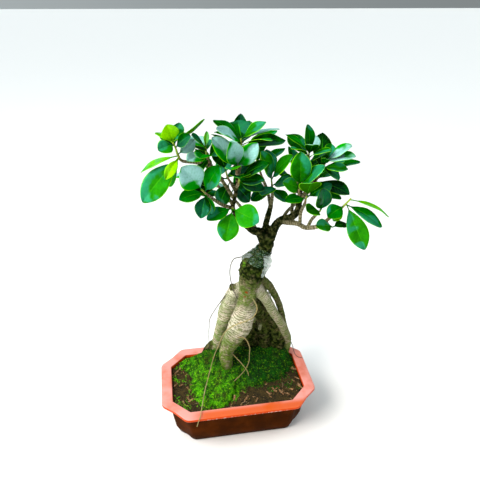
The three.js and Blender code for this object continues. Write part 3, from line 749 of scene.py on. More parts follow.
@dataclass(frozen=True)
class Bark:
    """Ginseng bark: pale and wrinkled on the roots, dark on the branches, with green algae.

    The look attribute holds how pale, how green and how dark it is (the dark partly painted shade), and the
    place along the limb in metres.
    """

    pale: Colour = (0.99, 0.87, 0.77)
    tan: Colour = (0.4, 0.33, 0.13)
    cloud: Colour = (0.66, 0.58, 0.36)
    dark: Colour = (0.004, 0.01, 0.0005)
    algae: Colour = (0.13, 0.28, 0.004)
    crease: Colour = (0.11, 0.1, 0.02)
    speck: Colour = (0.06, 0.055, 0.012)
    ring_spacing: float = 0.0026
    spots: tuple[tuple[Colour, float, Colour], ...] = (
        ((0.0105, 0.0092, 0.226), 0.0036, (0.22, 0.62, 0.01)),
        ((0.0145, 0.0068, 0.186), 0.003, (0.26, 0.06, 0.01)),
        ((0.0125, 0.007, 0.179), 0.0028, (0.22, 0.05, 0.008)),
        ((0.0118, 0.0072, 0.173), 0.0022, (0.3, 0.1, 0.03)),
    )

    def material(self) -> bpy.types.Material:
        """Makes the material.

        Returns:
            The bark of the roots, the trunk and the branches.
        """
        s = Sketch("bark")
        look = s.attribute("look")
        pale, green, dark = s.parts(look.outputs["Color"])
        along = look.outputs["Alpha"]
        warp = s.noise(170, 3)
        wander = s.times(warp, 0.0042)
        rings = s.plus(along, wander)
        wave = s.halved(s.sum("SINE", s.times(rings, 2 * math.pi / self.ring_spacing)))
        broken = s.flecks(200, 3, 0.26, 0.5)
        ring = s.times(s.band(wave, 0.3, 0.95), broken)
        speck = s.flecks(1300, 3, 0.5, 0.7)
        cloud = s.noise(75, 4)
        colour = s.blend(pale, self.tan, self.pale)
        colour = s.blend(s.times(s.band(cloud, 0.35, 0.7), 0.4), colour, self.cloud)
        colour = s.blend(s.times(ring, 0.75), colour, self.crease)
        patch = s.times(green, s.flecks(130, 5, 0.38, 0.56))
        colour = s.blend(patch, colour, self.algae)
        colour = s.blend(s.times(speck, 0.22), colour, self.speck)
        # Partly painted shade: the dark share takes the colour towards near black, the bark's own dark on the
        # branches and upper trunk, and painted shade on the shady and hidden roots
        shade = s.plus(dark, s.times(s.less(s.noise(230, 4), 0.5), s.times(dark, 1.7)), clamp=True)
        colour = s.blend(shade, colour, self.dark)
        for place, reach, paint in self.spots:
            measured = s.node("ShaderNodeVectorMath", {0: s.place(), 1: place}, operation="DISTANCE")
            away = measured.outputs["Value"]
            away = s.plus(away, s.times(s.less(s.noise(420, 3), 0.5), reach * 1.4))
            colour = s.blend(s.band(away, reach, reach * 0.45), colour, paint)
        height = s.plus(s.times(ring, -0.8), s.times(speck, -0.3))
        bumped = s.bump(height, 0.0009, s.bump(s.noise(330, 5), 0.0018, strength=1.0), 1.0)
        return s.finish(Base_Color=colour, Roughness=0.85, Normal=bumped, Specular_IOR_Level=0.03)


@dataclass(frozen=True)
class PlantMatter:
    """A dull plant finish with two colours in clouds and a third in specks."""

    name: str
    light: Colour
    shade: Colour
    speck: Colour
    cloud_scale: float
    speck_scale: float
    rough: float = 0.9

    def material(self) -> bpy.types.Material:
        """Makes the material.

        Returns:
            The matter in its own colours.
        """
        s = Sketch(self.name)
        look = s.attribute("look")
        tone = s.parts(look.outputs["Color"])[0]
        cloud = s.band(s.plus(s.noise(self.cloud_scale, 4), s.times(tone, 0.4)), 0.35, 0.85)
        colour = s.blend(cloud, self.shade, self.light)
        speck = s.band(s.noise(self.speck_scale, 2), 0.52, 0.68)
        colour = s.blend(s.times(speck, 0.6), colour, self.speck)
        bumped = s.bump(s.noise(self.speck_scale, 4), 0.0008)
        return s.finish(Base_Color=colour, Roughness=self.rough, Normal=bumped, Specular_IOR_Level=0.25)


@dataclass(frozen=True)
class MossGreen:
    """Moss: painted light, bright on the sunny left and front, and painted shade, deep green under the tree
    on the right.
    """

    name: str
    sunny: Colour = (0.15, 0.62, 0.001)
    shady: Colour = (0.008, 0.13, 0.0)
    depth: Colour = (0.001, 0.022, 0.0)
    tip: Colour = (0.4, 0.85, 0.01)
    dry: Colour = (0.06, 0.075, 0.008)

    def material(self) -> bpy.types.Material:
        """Makes the material.

        Returns:
            The green of the mound or of its sprigs.
        """
        s = Sketch(self.name)
        x, y, _ = s.parts(s.place())
        away = s.plus(s.plus(x, s.times(y, 0.9)), s.times(s.noise(45, 3), 0.05))
        # Painted light and shade: brighter to the left and front, darker under the tree to the right
        painted_sun = s.band(away, 0.055, -0.035)
        colour = s.blend(painted_sun, self.shady, self.sunny)
        colour = s.blend(s.flecks(150, 4, 0.62, 0.4), colour, s.blend(0.8, colour, self.depth))
        colour = s.blend(s.times(s.flecks(60, 4, 0.56, 0.68), 0.7), colour, self.dry)
        # Painted highlight: the bright tips show only where the painted sun falls
        speck = s.times(s.flecks(420, 2, 0.55, 0.7), s.halved(painted_sun))
        colour = s.blend(speck, colour, self.tip)
        return s.finish(Base_Color=colour, Roughness=0.75, Specular_IOR_Level=0.2)


@dataclass(frozen=True)
class WrapFilm:
    """Crumpled clear film, bluish white where it is loose, with a painted highlight along its creases."""

    film: Colour = (0.025, 0.11, 0.025)
    milky: Colour = (0.34, 0.4, 0.36)
    painted_gleam: Colour = (0.45, 0.6, 0.52)

    def material(self) -> bpy.types.Material:
        """Makes the material.

        Returns:
            The clear film.
        """
        s = Sketch("tape_film")
        loose = s.parts(s.attribute("look").outputs["Color"])[0]
        creases = s.noise(190, 4, stretch=(1, 1, 2.2))
        colour = s.blend(loose, self.film, self.milky)
        # Painted highlight: the crease ridges are painted paler
        colour = s.blend(s.times(s.band(creases, 0.55, 0.7), 0.4), colour, self.painted_gleam)
        alpha = s.plus(s.times(loose, 0.35), s.times(s.band(creases, 0.4, 0.75), 0.35))
        alpha = s.plus(alpha, 0.1, True)
        bumped = s.bump(creases, 0.0025)
        return s.finish(Base_Color=colour, Roughness=0.22, Normal=bumped, Alpha=alpha, Specular_IOR_Level=0.5)


@dataclass(frozen=True)
class LeafSkin:
    """A fig leaf's leathery skin: gloss on top, pale midrib, veins and margin, dull below, with painted sheen
    and lustre patches.

    The look attribute holds youth, the margin's strength, the leaf's tone (partly its own, partly painted
    shade, above 1 a painted sheen) and 1 on the upper face.
    The flat attribute holds the place across, from 0 to 1, and along the blade.
    """

    deep: Colour = (0.0, 0.014, 0.0)
    fresh: Colour = (0.0, 0.26, 0.002)
    young: Colour = (0.3, 0.8, 0.0)
    rib: Colour = (0.04, 0.36, 0.003)
    under: Colour = (0.0, 0.085, 0.001)
    edge: Colour = (0.24, 0.76, 0.004)
    # painted_sheen_colour: the pale cyan of the painted sheen
    painted_sheen_colour: Colour = (0.36, 0.64, 0.68)
    # painted_lustre: the teal-green of the painted lustre patches
    painted_lustre: Colour = (0.02, 0.3, 0.18)
    shine: Colour = (0.15, 1.0, 0.85)
    silver: Colour = (0.75, 0.98, 1.0)
    veins: int = 11

    def material(self) -> bpy.types.Material:
        """Makes the material.

        Returns:
            The skin of the blades, with veins and margin.
        """
        s = Sketch("leaf_skin")
        look = s.attribute("look")
        young, margin, tone = s.parts(look.outputs["Color"])
        upper = look.outputs["Alpha"]
        flat = s.attribute("flat").outputs["Vector"]
        across, along, _ = s.parts(flat)
        side = s.away(across, 0.5)
        cloud = s.noise(85, 3)
        # Partly painted shade: low tones darken a leaf towards the deep green, for leaves that sit in shade
        tone_and_painted_shade = s.plus(s.times(tone, 0.8), s.times(s.band(cloud, 0.35, 0.7), 0.3), clamp=True)
        colour = s.blend(tone_and_painted_shade, self.deep, self.fresh)
        slant = s.less(along, s.times(side, 0.5))
        vein = s.band(s.sum("SINE", s.times(slant, 2 * math.pi * self.veins)), 0.86, 1.0)
        colour = s.blend(s.times(vein, 0.13), colour, self.rib)
        rib = s.times(s.band(side, 0.035, 0.006), s.band(along, 1.02, 0.3))
        colour = s.blend(s.times(rib, 0.75), colour, self.rib)
        colour = s.blend(s.times(s.band(along, 0.2, 0.0), 0.85), colour, self.rib)
        colour = s.blend(s.times(young, s.band(cloud, 0.1, 0.6)), colour, self.young)
        lit_half = s.times(s.less(across, 0.5), 0.24)
        spread = s.plus(s.plus(s.noise(38, 2), lit_half), s.times(s.less(along, 0.4), 0.12))
        # Painted sheen: on the sheen leaves a pale cyan reflection is painted over patches of the blade
        sheen_share = s.band(tone, 1.1, 1.7)
        streak = s.plus(s.times(s.noise(330, 3), 0.7), s.times(vein, -0.2))
        painted_sheen = s.times(sheen_share, s.band(spread, 0.42, 0.54), s.plus(streak, 0.6, True))
        colour = s.blend(s.times(painted_sheen, 0.78), colour, self.painted_sheen_colour)
        # Painted sheen: teal-green patches on the other leaves' tops, where the real gloss is raised too
        patch = s.times(s.band(spread, 0.52, 0.6), s.less(1.0, young))
        patch = s.times(patch, s.plus(s.times(tone, 1.4), 0.25, True))
        colour = s.blend(s.times(patch, 0.5, s.less(1.0, sheen_share)), colour, self.painted_lustre)
        patch = s.sum("MAXIMUM", patch, painted_sheen)
        below = s.blend(young, self.under, self.young)
        below = s.blend(s.times(rib, 0.7), below, self.rib)
        colour = s.blend(upper, below, colour)
        edge = s.times(s.band(side, 0.452, 0.488), margin)
        colour = s.blend(edge, colour, self.edge)
        rough = s.ramp(upper, 0.6, 0.27)
        relief = s.plus(s.times(vein, -0.35), s.times(rib, -1.0))
        folded = s.bump(side, 0.005, s.bump(s.noise(110, 2), 0.0025, strength=0.9))
        bumped = s.bump(relief, 0.0003, folded, 0.6)
        glossy = s.times(upper, s.plus(s.times(patch, 0.6), 0.02))
        slanting = s.node("ShaderNodeLayerWeight", {"Blend": 0.5}).outputs["Facing"]
        glossy = s.times(glossy, s.less(1.0, s.times(slanting, 1.5), True))
        tint = s.blend(sheen_share, self.shine, self.silver)
        return s.finish(Base_Color=colour, Roughness=rough, Normal=bumped, Specular_IOR_Level=glossy,
                        Specular_Tint=tint)


@dataclass(frozen=True)
class StemSkin:
    """A green shoot's skin: tan and speckled at its foot, yellow-green at its tip."""

    foot: Colour = (0.2, 0.12, 0.045)
    tip: Colour = (0.32, 0.46, 0.015)
    pore: Colour = (0.5, 0.4, 0.25)

    def material(self) -> bpy.types.Material:
        """Makes the material.

        Returns:
            The skin of the green stems.
        """
        s = Sketch("stem_skin")
        height = s.parts(s.attribute("look").outputs["Color"])[0]
        share = s.band(s.plus(height, s.times(s.noise(400, 2), 0.3)), 0.35, 1.0)
        colour = s.blend(share, self.foot, self.tip)
        speck = s.flecks(1500, 2, 0.6, 0.7)
        colour = s.blend(s.times(speck, 0.4), colour, self.pore)
        return s.finish(Base_Color=colour, Roughness=0.5, Normal=s.bump(speck, 0.0002))


# Pot


@dataclass
class Pot:
    """The low rectangular pot with hollow cut corners and a wide flat rim."""

    rim_length: float = 200
    rim_depth: float = 134
    corner_cut: float = 29.3
    rounding: float = 5
    sag: float = 1.6
    height: float = 58
    rim_width: float = 13.6
    floor: float = 4
    wall_lean: float = 0.103
    foot_height: float = 12
    foot_inset: float = 6
    drain_radius: float = 5
    drain_spacing: float = 76
    lobe_steps: int = 8
    outside: Points = (
        (22.6, 0), (21.8, 0), (20.6, 0.5), (19.4, 1.8), (15.4, 12), (12.6, 30), (9.8, 50.8), (9.2, 52.4),
        (8, 53.4), (6, 53.9), (0.9, 54.2), (0.3, 54.6), (0, 55.1), (0, 57.2), (0.25, 57.75), (0.8, 58),
    )
    rim_top: Points = ((4, 58, 0.8), (9, 58, 0.45), (12.6, 58, 0.15), (13.25, 57.85, 0))
    wall_heights: Sequence[float] = (57.4, 50, 30)
    crisp_from: float = math.radians(38)

    def ring(self, inset: float, z: float, shape: float = 1.0) -> np.ndarray:
        """The pot's outline at a height.

        Args:
            inset: how far inside the rim's edge.
            z: the height.
            shape: how much its corners are lobed.

        Returns:
            Its points, counterclockwise.
        """
        half = np.array([self.rim_length / 2 - inset, self.rim_depth / 2 - inset])
        cut = self.corner_cut - inset * (2 - math.sqrt(2))
        rounding = max(0.8, self.rounding * shape)
        points: list[np.ndarray] = []
        for sx, sy in ((1, 1), (-1, 1), (-1, -1), (1, -1)):
            sign = np.array([sx, sy])
            on_end, on_side = sign * (half - [0, cut]), sign * (half - [cut, 0])
            hollow = (on_end + on_side) / 2 - sign / math.sqrt(2) * self.sag * shape
            before = on_end - [0, sy * rounding]
            after = on_side - [sx * rounding, 0]
            corner = [*self.lobe(before, on_end, on_end + unit(hollow - on_end) * rounding), hollow]
            corner += self.lobe(on_side + unit(hollow - on_side) * rounding, on_side, after)
            points += corner if sx * sy > 0 else corner[::-1]
        return np.array([[*p, z] for p in points])

    def lobe(self, a: np.ndarray, b: np.ndarray, c: np.ndarray) -> list[np.ndarray]:
        """Points of a rounded lobe from a past b to c."""
        shares = np.linspace(0, 1, self.lobe_steps + 1)
        return [a * (1 - t) ** 2 + 2 * b * t * (1 - t) + c * t**2 for t in shares]

    def wall(self, z: float, gap: float = 0.0) -> float:
        """The inset of the cavity's wall at a height, with a gap."""
        return self.rim_width + gap + (self.height - z) * self.wall_lean

    def rings(self) -> list[np.ndarray]:
        """Every ring from the underside, up over the rim and down the inside to the floor.

        Returns:
            The rings in order, with as many points each.
        """
        rings = [self.ring(inset, z) for inset, z in self.outside]
        rings += [self.ring(*row) for row in self.rim_top]
        rings += [self.ring(self.wall(z), z, 0) for z in (*self.wall_heights, self.foot_height)]
        rings.append(self.ring(self.wall(self.foot_height) + self.foot_inset, self.floor, 0))
        return rings

    def build(self) -> bpy.types.Object:
        """Builds the moulded pot with its drains.

        Returns:
            The pot without its finish.
        """
        shell = Shell()
        shell.loft(self.rings())
        pot = placed(shell.mesh("pot_bowl", [], plant=False), "pot_bowl")
        drains = placed(self.drains(), "drain_cutter")
        cut = pot.modifiers.new("drains", "BOOLEAN")
        cut.object, cut.solver = drains, "EXACT"
        settled(pot)
        bpy.data.objects.remove(drains)
        return pot

    def drains(self) -> bpy.types.Mesh:
        """The two plugs that the drain holes are cut with.

        Returns:
            One mesh with both plugs.
        """
        mesh = bpy.data.meshes.new("drains")
        made = bmesh.new()
        for side in (-0.5, 0.5):
            at = Matrix.Translation((side * self.drain_spacing * MM, 0, 0))
            radius = self.drain_radius * MM
            bmesh.ops.create_cone(made, cap_ends=True, segments=32, radius1=radius, radius2=radius,
                                  depth=3 * self.floor * MM, matrix=at)
        made.to_mesh(mesh)
        made.free()
        return mesh

    def dress(self, pot: bpy.types.Object) -> None:
        """Gives the pot its plastic, with smooth curves and crisp moulded edges.

        Args:
            pot: the pot.
        """
        coated(pot.data, MouldedPlastic().material())
        pot.data.set_sharp_from_angle(angle=self.crisp_from)
        declared(pot, "terracotta_plastic", "pot")


# Scattering


class Growth(Nodes):
    """A tree of geometry nodes that makes shapes from a mesh, real and with one finish."""

    INPUTS: tuple[tuple[str, str], ...] = ()

    def __init__(self, name: str) -> None:
        """Draws the tree, with its inputs by name.

        Args:
            name: the tree's name.
        """
        self.tree = bpy.data.node_groups.new(name, "GeometryNodeTree")
        super().__init__(self.tree)
        self.ids: dict[str, str] = {}
        for label, kind in (("Geometry", "NodeSocketGeometry"), *self.INPUTS):
            socket = self.tree.interface.new_socket(label, in_out="INPUT", socket_type=kind)
            self.ids[label] = socket.identifier
        self.tree.interface.new_socket("Geometry", in_out="OUTPUT", socket_type="NodeSocketGeometry")
        given = self.node("NodeGroupInput").outputs
        real = self.node("GeometryNodeRealizeInstances", {0: self.draw(given)}).outputs[0]
        done = self.node("GeometryNodeSetMaterial", {"Geometry": real, "Material": given["Finish"]})
        self.node("NodeGroupOutput", {0: done.outputs[0]})

    def draw(self, given: bpy.types.NodeOutputs) -> bpy.types.NodeSocket:
        """Adds the nodes between the tree's inputs and what it makes of them."""
        raise NotImplementedError

    def grown(self, piece: bpy.types.Object, sizes: dict[str, object]) -> bpy.types.Object:
        """Runs the tree on an object.

        Args:
            piece: the object.
            sizes: the tree's inputs by name.

        Returns:
            The same object with only what the tree makes.
        """
        made = piece.modifiers.new("growth", "NODES")
        made.node_group = self.tree
        for label, value in sizes.items():
            made[self.ids[label]] = value
        return settled(piece)


class Scatter(Growth):
    """Spreads small shapes over a surface."""

    INPUTS = (
        ("Shape", "NodeSocketObject"),
        ("Density", "NodeSocketFloat"),
        ("Smallest", "NodeSocketFloat"),
        ("Largest", "NodeSocketFloat"),
        ("Tilt", "NodeSocketFloat"),
        ("Sink", "NodeSocketFloat"),
        ("Seed", "NodeSocketInt"),
        ("Finish", "NodeSocketMaterial"),
    )

    def draw(self, given: bpy.types.NodeOutputs) -> bpy.types.NodeSocket:
        """Adds the nodes: points by the cover attribute, and turned shapes on them.

        Args:
            given: the tree's inputs by name.

        Returns:
            The shapes, still instances.
        """
        seed = given["Seed"]
        cover = self.node("GeometryNodeInputNamedAttribute", {"Name": "cover"}, data_type="FLOAT").outputs[0]
        density = self.times(given["Density"], cover)
        inputs = {"Mesh": given["Geometry"], "Density": density, "Seed": seed}
        spread = self.node("GeometryNodeDistributePointsOnFaces", inputs).outputs
        shape = self.node("GeometryNodeObjectInfo", {"Object": given["Shape"]}).outputs["Geometry"]
        ends = {}
        for end, side in (("Min", -1.0), ("Max", 1.0)):
            tilt = self.times(given["Tilt"], side)
            ends[end] = self.node("ShaderNodeCombineXYZ", {0: tilt, 1: tilt, 2: side * math.pi}).outputs[0]
        tip = self.node("FunctionNodeRandomValue", {**ends, "Seed": seed}, data_type="FLOAT_VECTOR")
        sizes = {"Min": given["Smallest"], "Max": given["Largest"], "Seed": seed}
        size = self.node("FunctionNodeRandomValue", sizes, data_type="FLOAT").outputs["Value"]
        euler = self.node("FunctionNodeEulerToRotation", {0: tip.outputs[0]}).outputs[0]
        turns = {0: spread["Rotation"], 1: euler}
        turn = self.node("FunctionNodeRotateRotation", turns, rotation_space="LOCAL")
        inputs = {"Points": spread["Points"], "Instance": shape, "Rotation": turn.outputs[0], "Scale": size}
        put = self.node("GeometryNodeInstanceOnPoints", inputs).outputs[0]
        down = self.node("ShaderNodeCombineXYZ", {2: given["Sink"]}).outputs[0]
        return self.node("GeometryNodeTranslateInstances", {"Instances": put, "Translation": down}).outputs[0]

    def over(self, surface: bpy.types.Object, name: str, **sizes: object) -> bpy.types.Object:
        """Spreads shapes over a copy of a surface.

        Args:
            surface: the object to cover, with its cover attribute.
            name: the name of what is made.
            sizes: the tree's inputs by name.

        Returns:
            A plain object that holds only the shapes.
        """
        return self.grown(placed(surface.data.copy(), name), sizes)


class Strand(Growth):
    """Lays a thin tapering strand along lines and lets it wander."""

    INPUTS = (
        ("Radius", "NodeSocketFloat"),
        ("Wander", "NodeSocketFloat"),
        ("Seed", "NodeSocketInt"),
        ("Finish", "NodeSocketMaterial"),
    )
    WANDER_SCALE = 120.0
    TAPER = (1.1, 0.75)
    SIDES = 7
    STEPS = 14

    def draw(self, given: bpy.types.NodeOutputs) -> bpy.types.NodeSocket:
        """Adds the nodes: lines to curves, a wander and a taper, then a round profile along them.

        Args:
            given: the tree's inputs by name.

        Returns:
            The strands' skins.
        """
        line = self.node("GeometryNodeMeshToCurve", {"Mesh": given["Geometry"]}).outputs[0]
        place = self.node("GeometryNodeInputPosition").outputs[0]
        inputs = {"Vector": place, "W": given["Seed"], "Scale": self.WANDER_SCALE}
        rough = self.node("ShaderNodeTexNoise", inputs, noise_dimensions="4D")
        middle = {0: rough.outputs["Color"], 1: (0.5, 0.5, 0.5)}
        offset = self.node("ShaderNodeVectorMath", middle, operation="SUBTRACT").outputs[0]
        stray = self.node("ShaderNodeVectorMath", {0: offset, "Scale": given["Wander"]}, operation="SCALE")
        bent = self.node("GeometryNodeSetPosition", {"Geometry": line, "Offset": stray.outputs[0]}).outputs[0]
        taper = self.ramp(self.node("GeometryNodeSplineParameter").outputs["Factor"], *self.TAPER)
        sized = self.node("GeometryNodeSetCurveRadius", {"Curve": bent, "Radius": taper}).outputs[0]
        profile = {"Resolution": self.SIDES, "Radius": given["Radius"]}
        ring = self.node("GeometryNodeCurvePrimitiveCircle", profile).outputs[0]
        inputs = {"Curve": sized, "Profile Curve": ring, "Fill Caps": True}
        skin = self.node("GeometryNodeCurveToMesh", inputs)
        if "Scale" in skin.inputs:
            self.put(skin.inputs["Scale"], taper)
        return skin.outputs[0]

    def along(self, lines: Sequence[Points], name: str, **sizes: object) -> bpy.types.Object:
        """Lays a strand along each line.

        Args:
            lines: the lines' points in the plant's axes.
            name: the name of what is made.
            sizes: the tree's inputs by name.

        Returns:
            A plain object that holds the strands.
        """
        points: list[Sequence[float]] = []
        edges: list[tuple[int, int]] = []
        for line in lines:
            first = len(points)
            points += in_frame(Path(line).at(np.linspace(0, 1, self.STEPS * len(line)))).tolist()
            edges += [(i, i + 1) for i in range(first, len(points) - 1)]
        mesh = bpy.data.meshes.new(name)
        mesh.from_pydata(points, edges, [])
        piece = self.grown(placed(mesh, name), sizes)
        smoothed(piece.data)
        return piece


def small_shape(name: str, points: Points, faces: Sequence[tuple[int, ...]]) -> bpy.types.Object:
    """A small shape to spread, in millimetres, kept out of the scene's collection.

    Args:
        name: the shape's name.
        points: its corners.
        faces: its faces, by the corners' numbers.

    Returns:
        The object.
    """
    mesh = bpy.data.meshes.new(name)
    mesh.from_pydata([[c * MM for c in p] for p in points], [], list(faces))
    mesh.update()
    return bpy.data.objects.new(name, mesh)


# Soil and moss


@dataclass
class Soil:
    """Damp potting soil up to just under the rim, with crumbs, bark chips and fibres."""

    pot: Pot
    level: float = 54
    gap: float = 0.3
    rings: int = 26
    side_step: float = 4
    floor_share: float = 0.87

    def height(self, x: float, y: float) -> float:
        """The soil's surface at a place, in millimetres."""
        p = Vector((x, y, 0))
        return self.level - 0.6 + 1.1 * noise.noise(p / 14) + 0.7 * noise.noise(p / 5 + Vector((9, 0, 0)))

    def build(self) -> bpy.types.Object:
        """Builds the block of soil with its uneven surface.

        Returns:
            The soil with its finish.
        """
        pot = self.pot
        outline = self.pot.ring(pot.wall(self.level, self.gap), self.level, 0)
        sides = zip(outline, np.roll(outline, -1, axis=0))
        fine = np.vstack([
            np.linspace(a, b, 1 + int(np.linalg.norm(b - a) // self.side_step), endpoint=False)
            for a, b in sides
        ])
        rows = [fine * [k, k, 1] for k in np.linspace(1, 0.02, self.rings)]
        for row in rows:
            row[:, 2] = [self.height(x, y) for x, y, _ in row]
        foot = pot.wall(pot.foot_height, self.gap)
        reach = 1 - (foot - pot.wall(self.level, self.gap)) / (pot.rim_depth / 2 - foot)
        low = fine.copy()
        low[:, :2] *= reach
        low[:, 2] = pot.foot_height
        floor = low.copy()
        floor[:, :2] *= self.floor_share
        floor[:, 2] = pot.floor + self.gap
        shell = Shell()
        shell.loft([floor, low, *rows])
        damp = ((0.06, 0.036, 0.006), (0.009, 0.006, 0.001), (0.15, 0.09, 0.02))
        finish = PlantMatter("potting_soil", *damp, 160, 900)
        return placed(shell.mesh("soil_block", [finish.material()], plant=False), "soil_block")

    def dress(self, soil: bpy.types.Object, scatter: Scatter) -> None:
        """Strews crumbs, chips and fibres over the soil.

        Args:
            soil: the block of soil.
            scatter: the tree that spreads shapes.
        """
        mesh = soil.data
        at, up = positions(mesh), normals(mesh)
        bare = (at[:, 2] > (self.level - 4) * MM) & (up[:, 2] > 0.5)
        covered(mesh, bare * np.clip(0.55 + 0.9 * lumps(at, 0.018, 3.0), 0.12, 1))
        crumb = small_shape(
            "crumb",
            ((1, 0, 0.1), (0.2, 0.9, 0), (-0.8, 0.4, 0.2), (-0.5, -0.8, 0), (0.6, -0.7, 0.1), (0.1, 0.1, 0.9),
             (0, 0, -0.6)),
            [*((i, (i + 1) % 5, 5) for i in range(5)), *(((i + 1) % 5, i, 6) for i in range(5))],
        )
        chip = small_shape(
            "chip",
            ((-2.6, -0.5, 0), (2.2, -0.9, 0.2), (2.8, 0.4, 0.5), (-2.2, 0.8, 0.2),
             (-2.2, -0.3, 0.6), (1.8, -0.6, 0.9), (2.3, 0.3, 1), (-1.9, 0.5, 0.7)),
            ((3, 2, 1, 0), (4, 5, 6, 7), (0, 1, 5, 4), (1, 2, 6, 5), (2, 3, 7, 6), (3, 0, 4, 7)),
        )
        fibre = small_shape(
            "fibre",
            ((-5, 0, 0), (-1, 1, 0.8), (3, 0, 1.2), (6, -1.5, 0.2), (-5, 0.3, 0), (-1, 1.4, 0.8),
             (3, 0.4, 1.2), (6, -1.2, 0.2), (-1, 1.2, 0.4), (3, 0.2, 0.8)),
            ((0, 1, 5, 4), (1, 2, 6, 5), (2, 3, 7, 6), (0, 4, 5, 8), (1, 0, 8), (8, 5, 6, 9), (1, 8, 9, 2),
             (9, 6, 7), (2, 9, 7, 3)),
        )
        dark = ((0.11, 0.068, 0.012), (0.014, 0.009, 0.001), (0.3, 0.19, 0.06))
        crumbs = PlantMatter("soil_crumbs", *dark, 220, 700)
        chips = PlantMatter("bark_chips", (0.5, 0.25, 0.1), (0.12, 0.055, 0.02), (0.75, 0.5, 0.3), 260, 900)
        fibres = PlantMatter("fibres", (0.62, 0.42, 0.24), (0.2, 0.11, 0.05), (0.7, 0.6, 0.45), 300, 900)
        strewn = (
            ("soil_crumbs", crumb, 170000.0, 0.5, 1.5, 3.0, crumbs, 5),
            ("bark_chips", chip, 15000.0, 0.4, 1.9, 0.45, chips, 9),
            ("soil_fibres", fibre, 3600.0, 0.5, 1.1, 0.2, fibres, 12),
        )
        for name, shape, density, small, large, tilt, finish, seed in strewn:
            piece = scatter.over(soil, name, Shape=shape, Density=density, Smallest=small, Largest=large,
                                 Tilt=tilt, Sink=0.0, Seed=seed, Finish=finish.material())
            declared(piece, "soil")
        declared(soil, "soil", "soil")


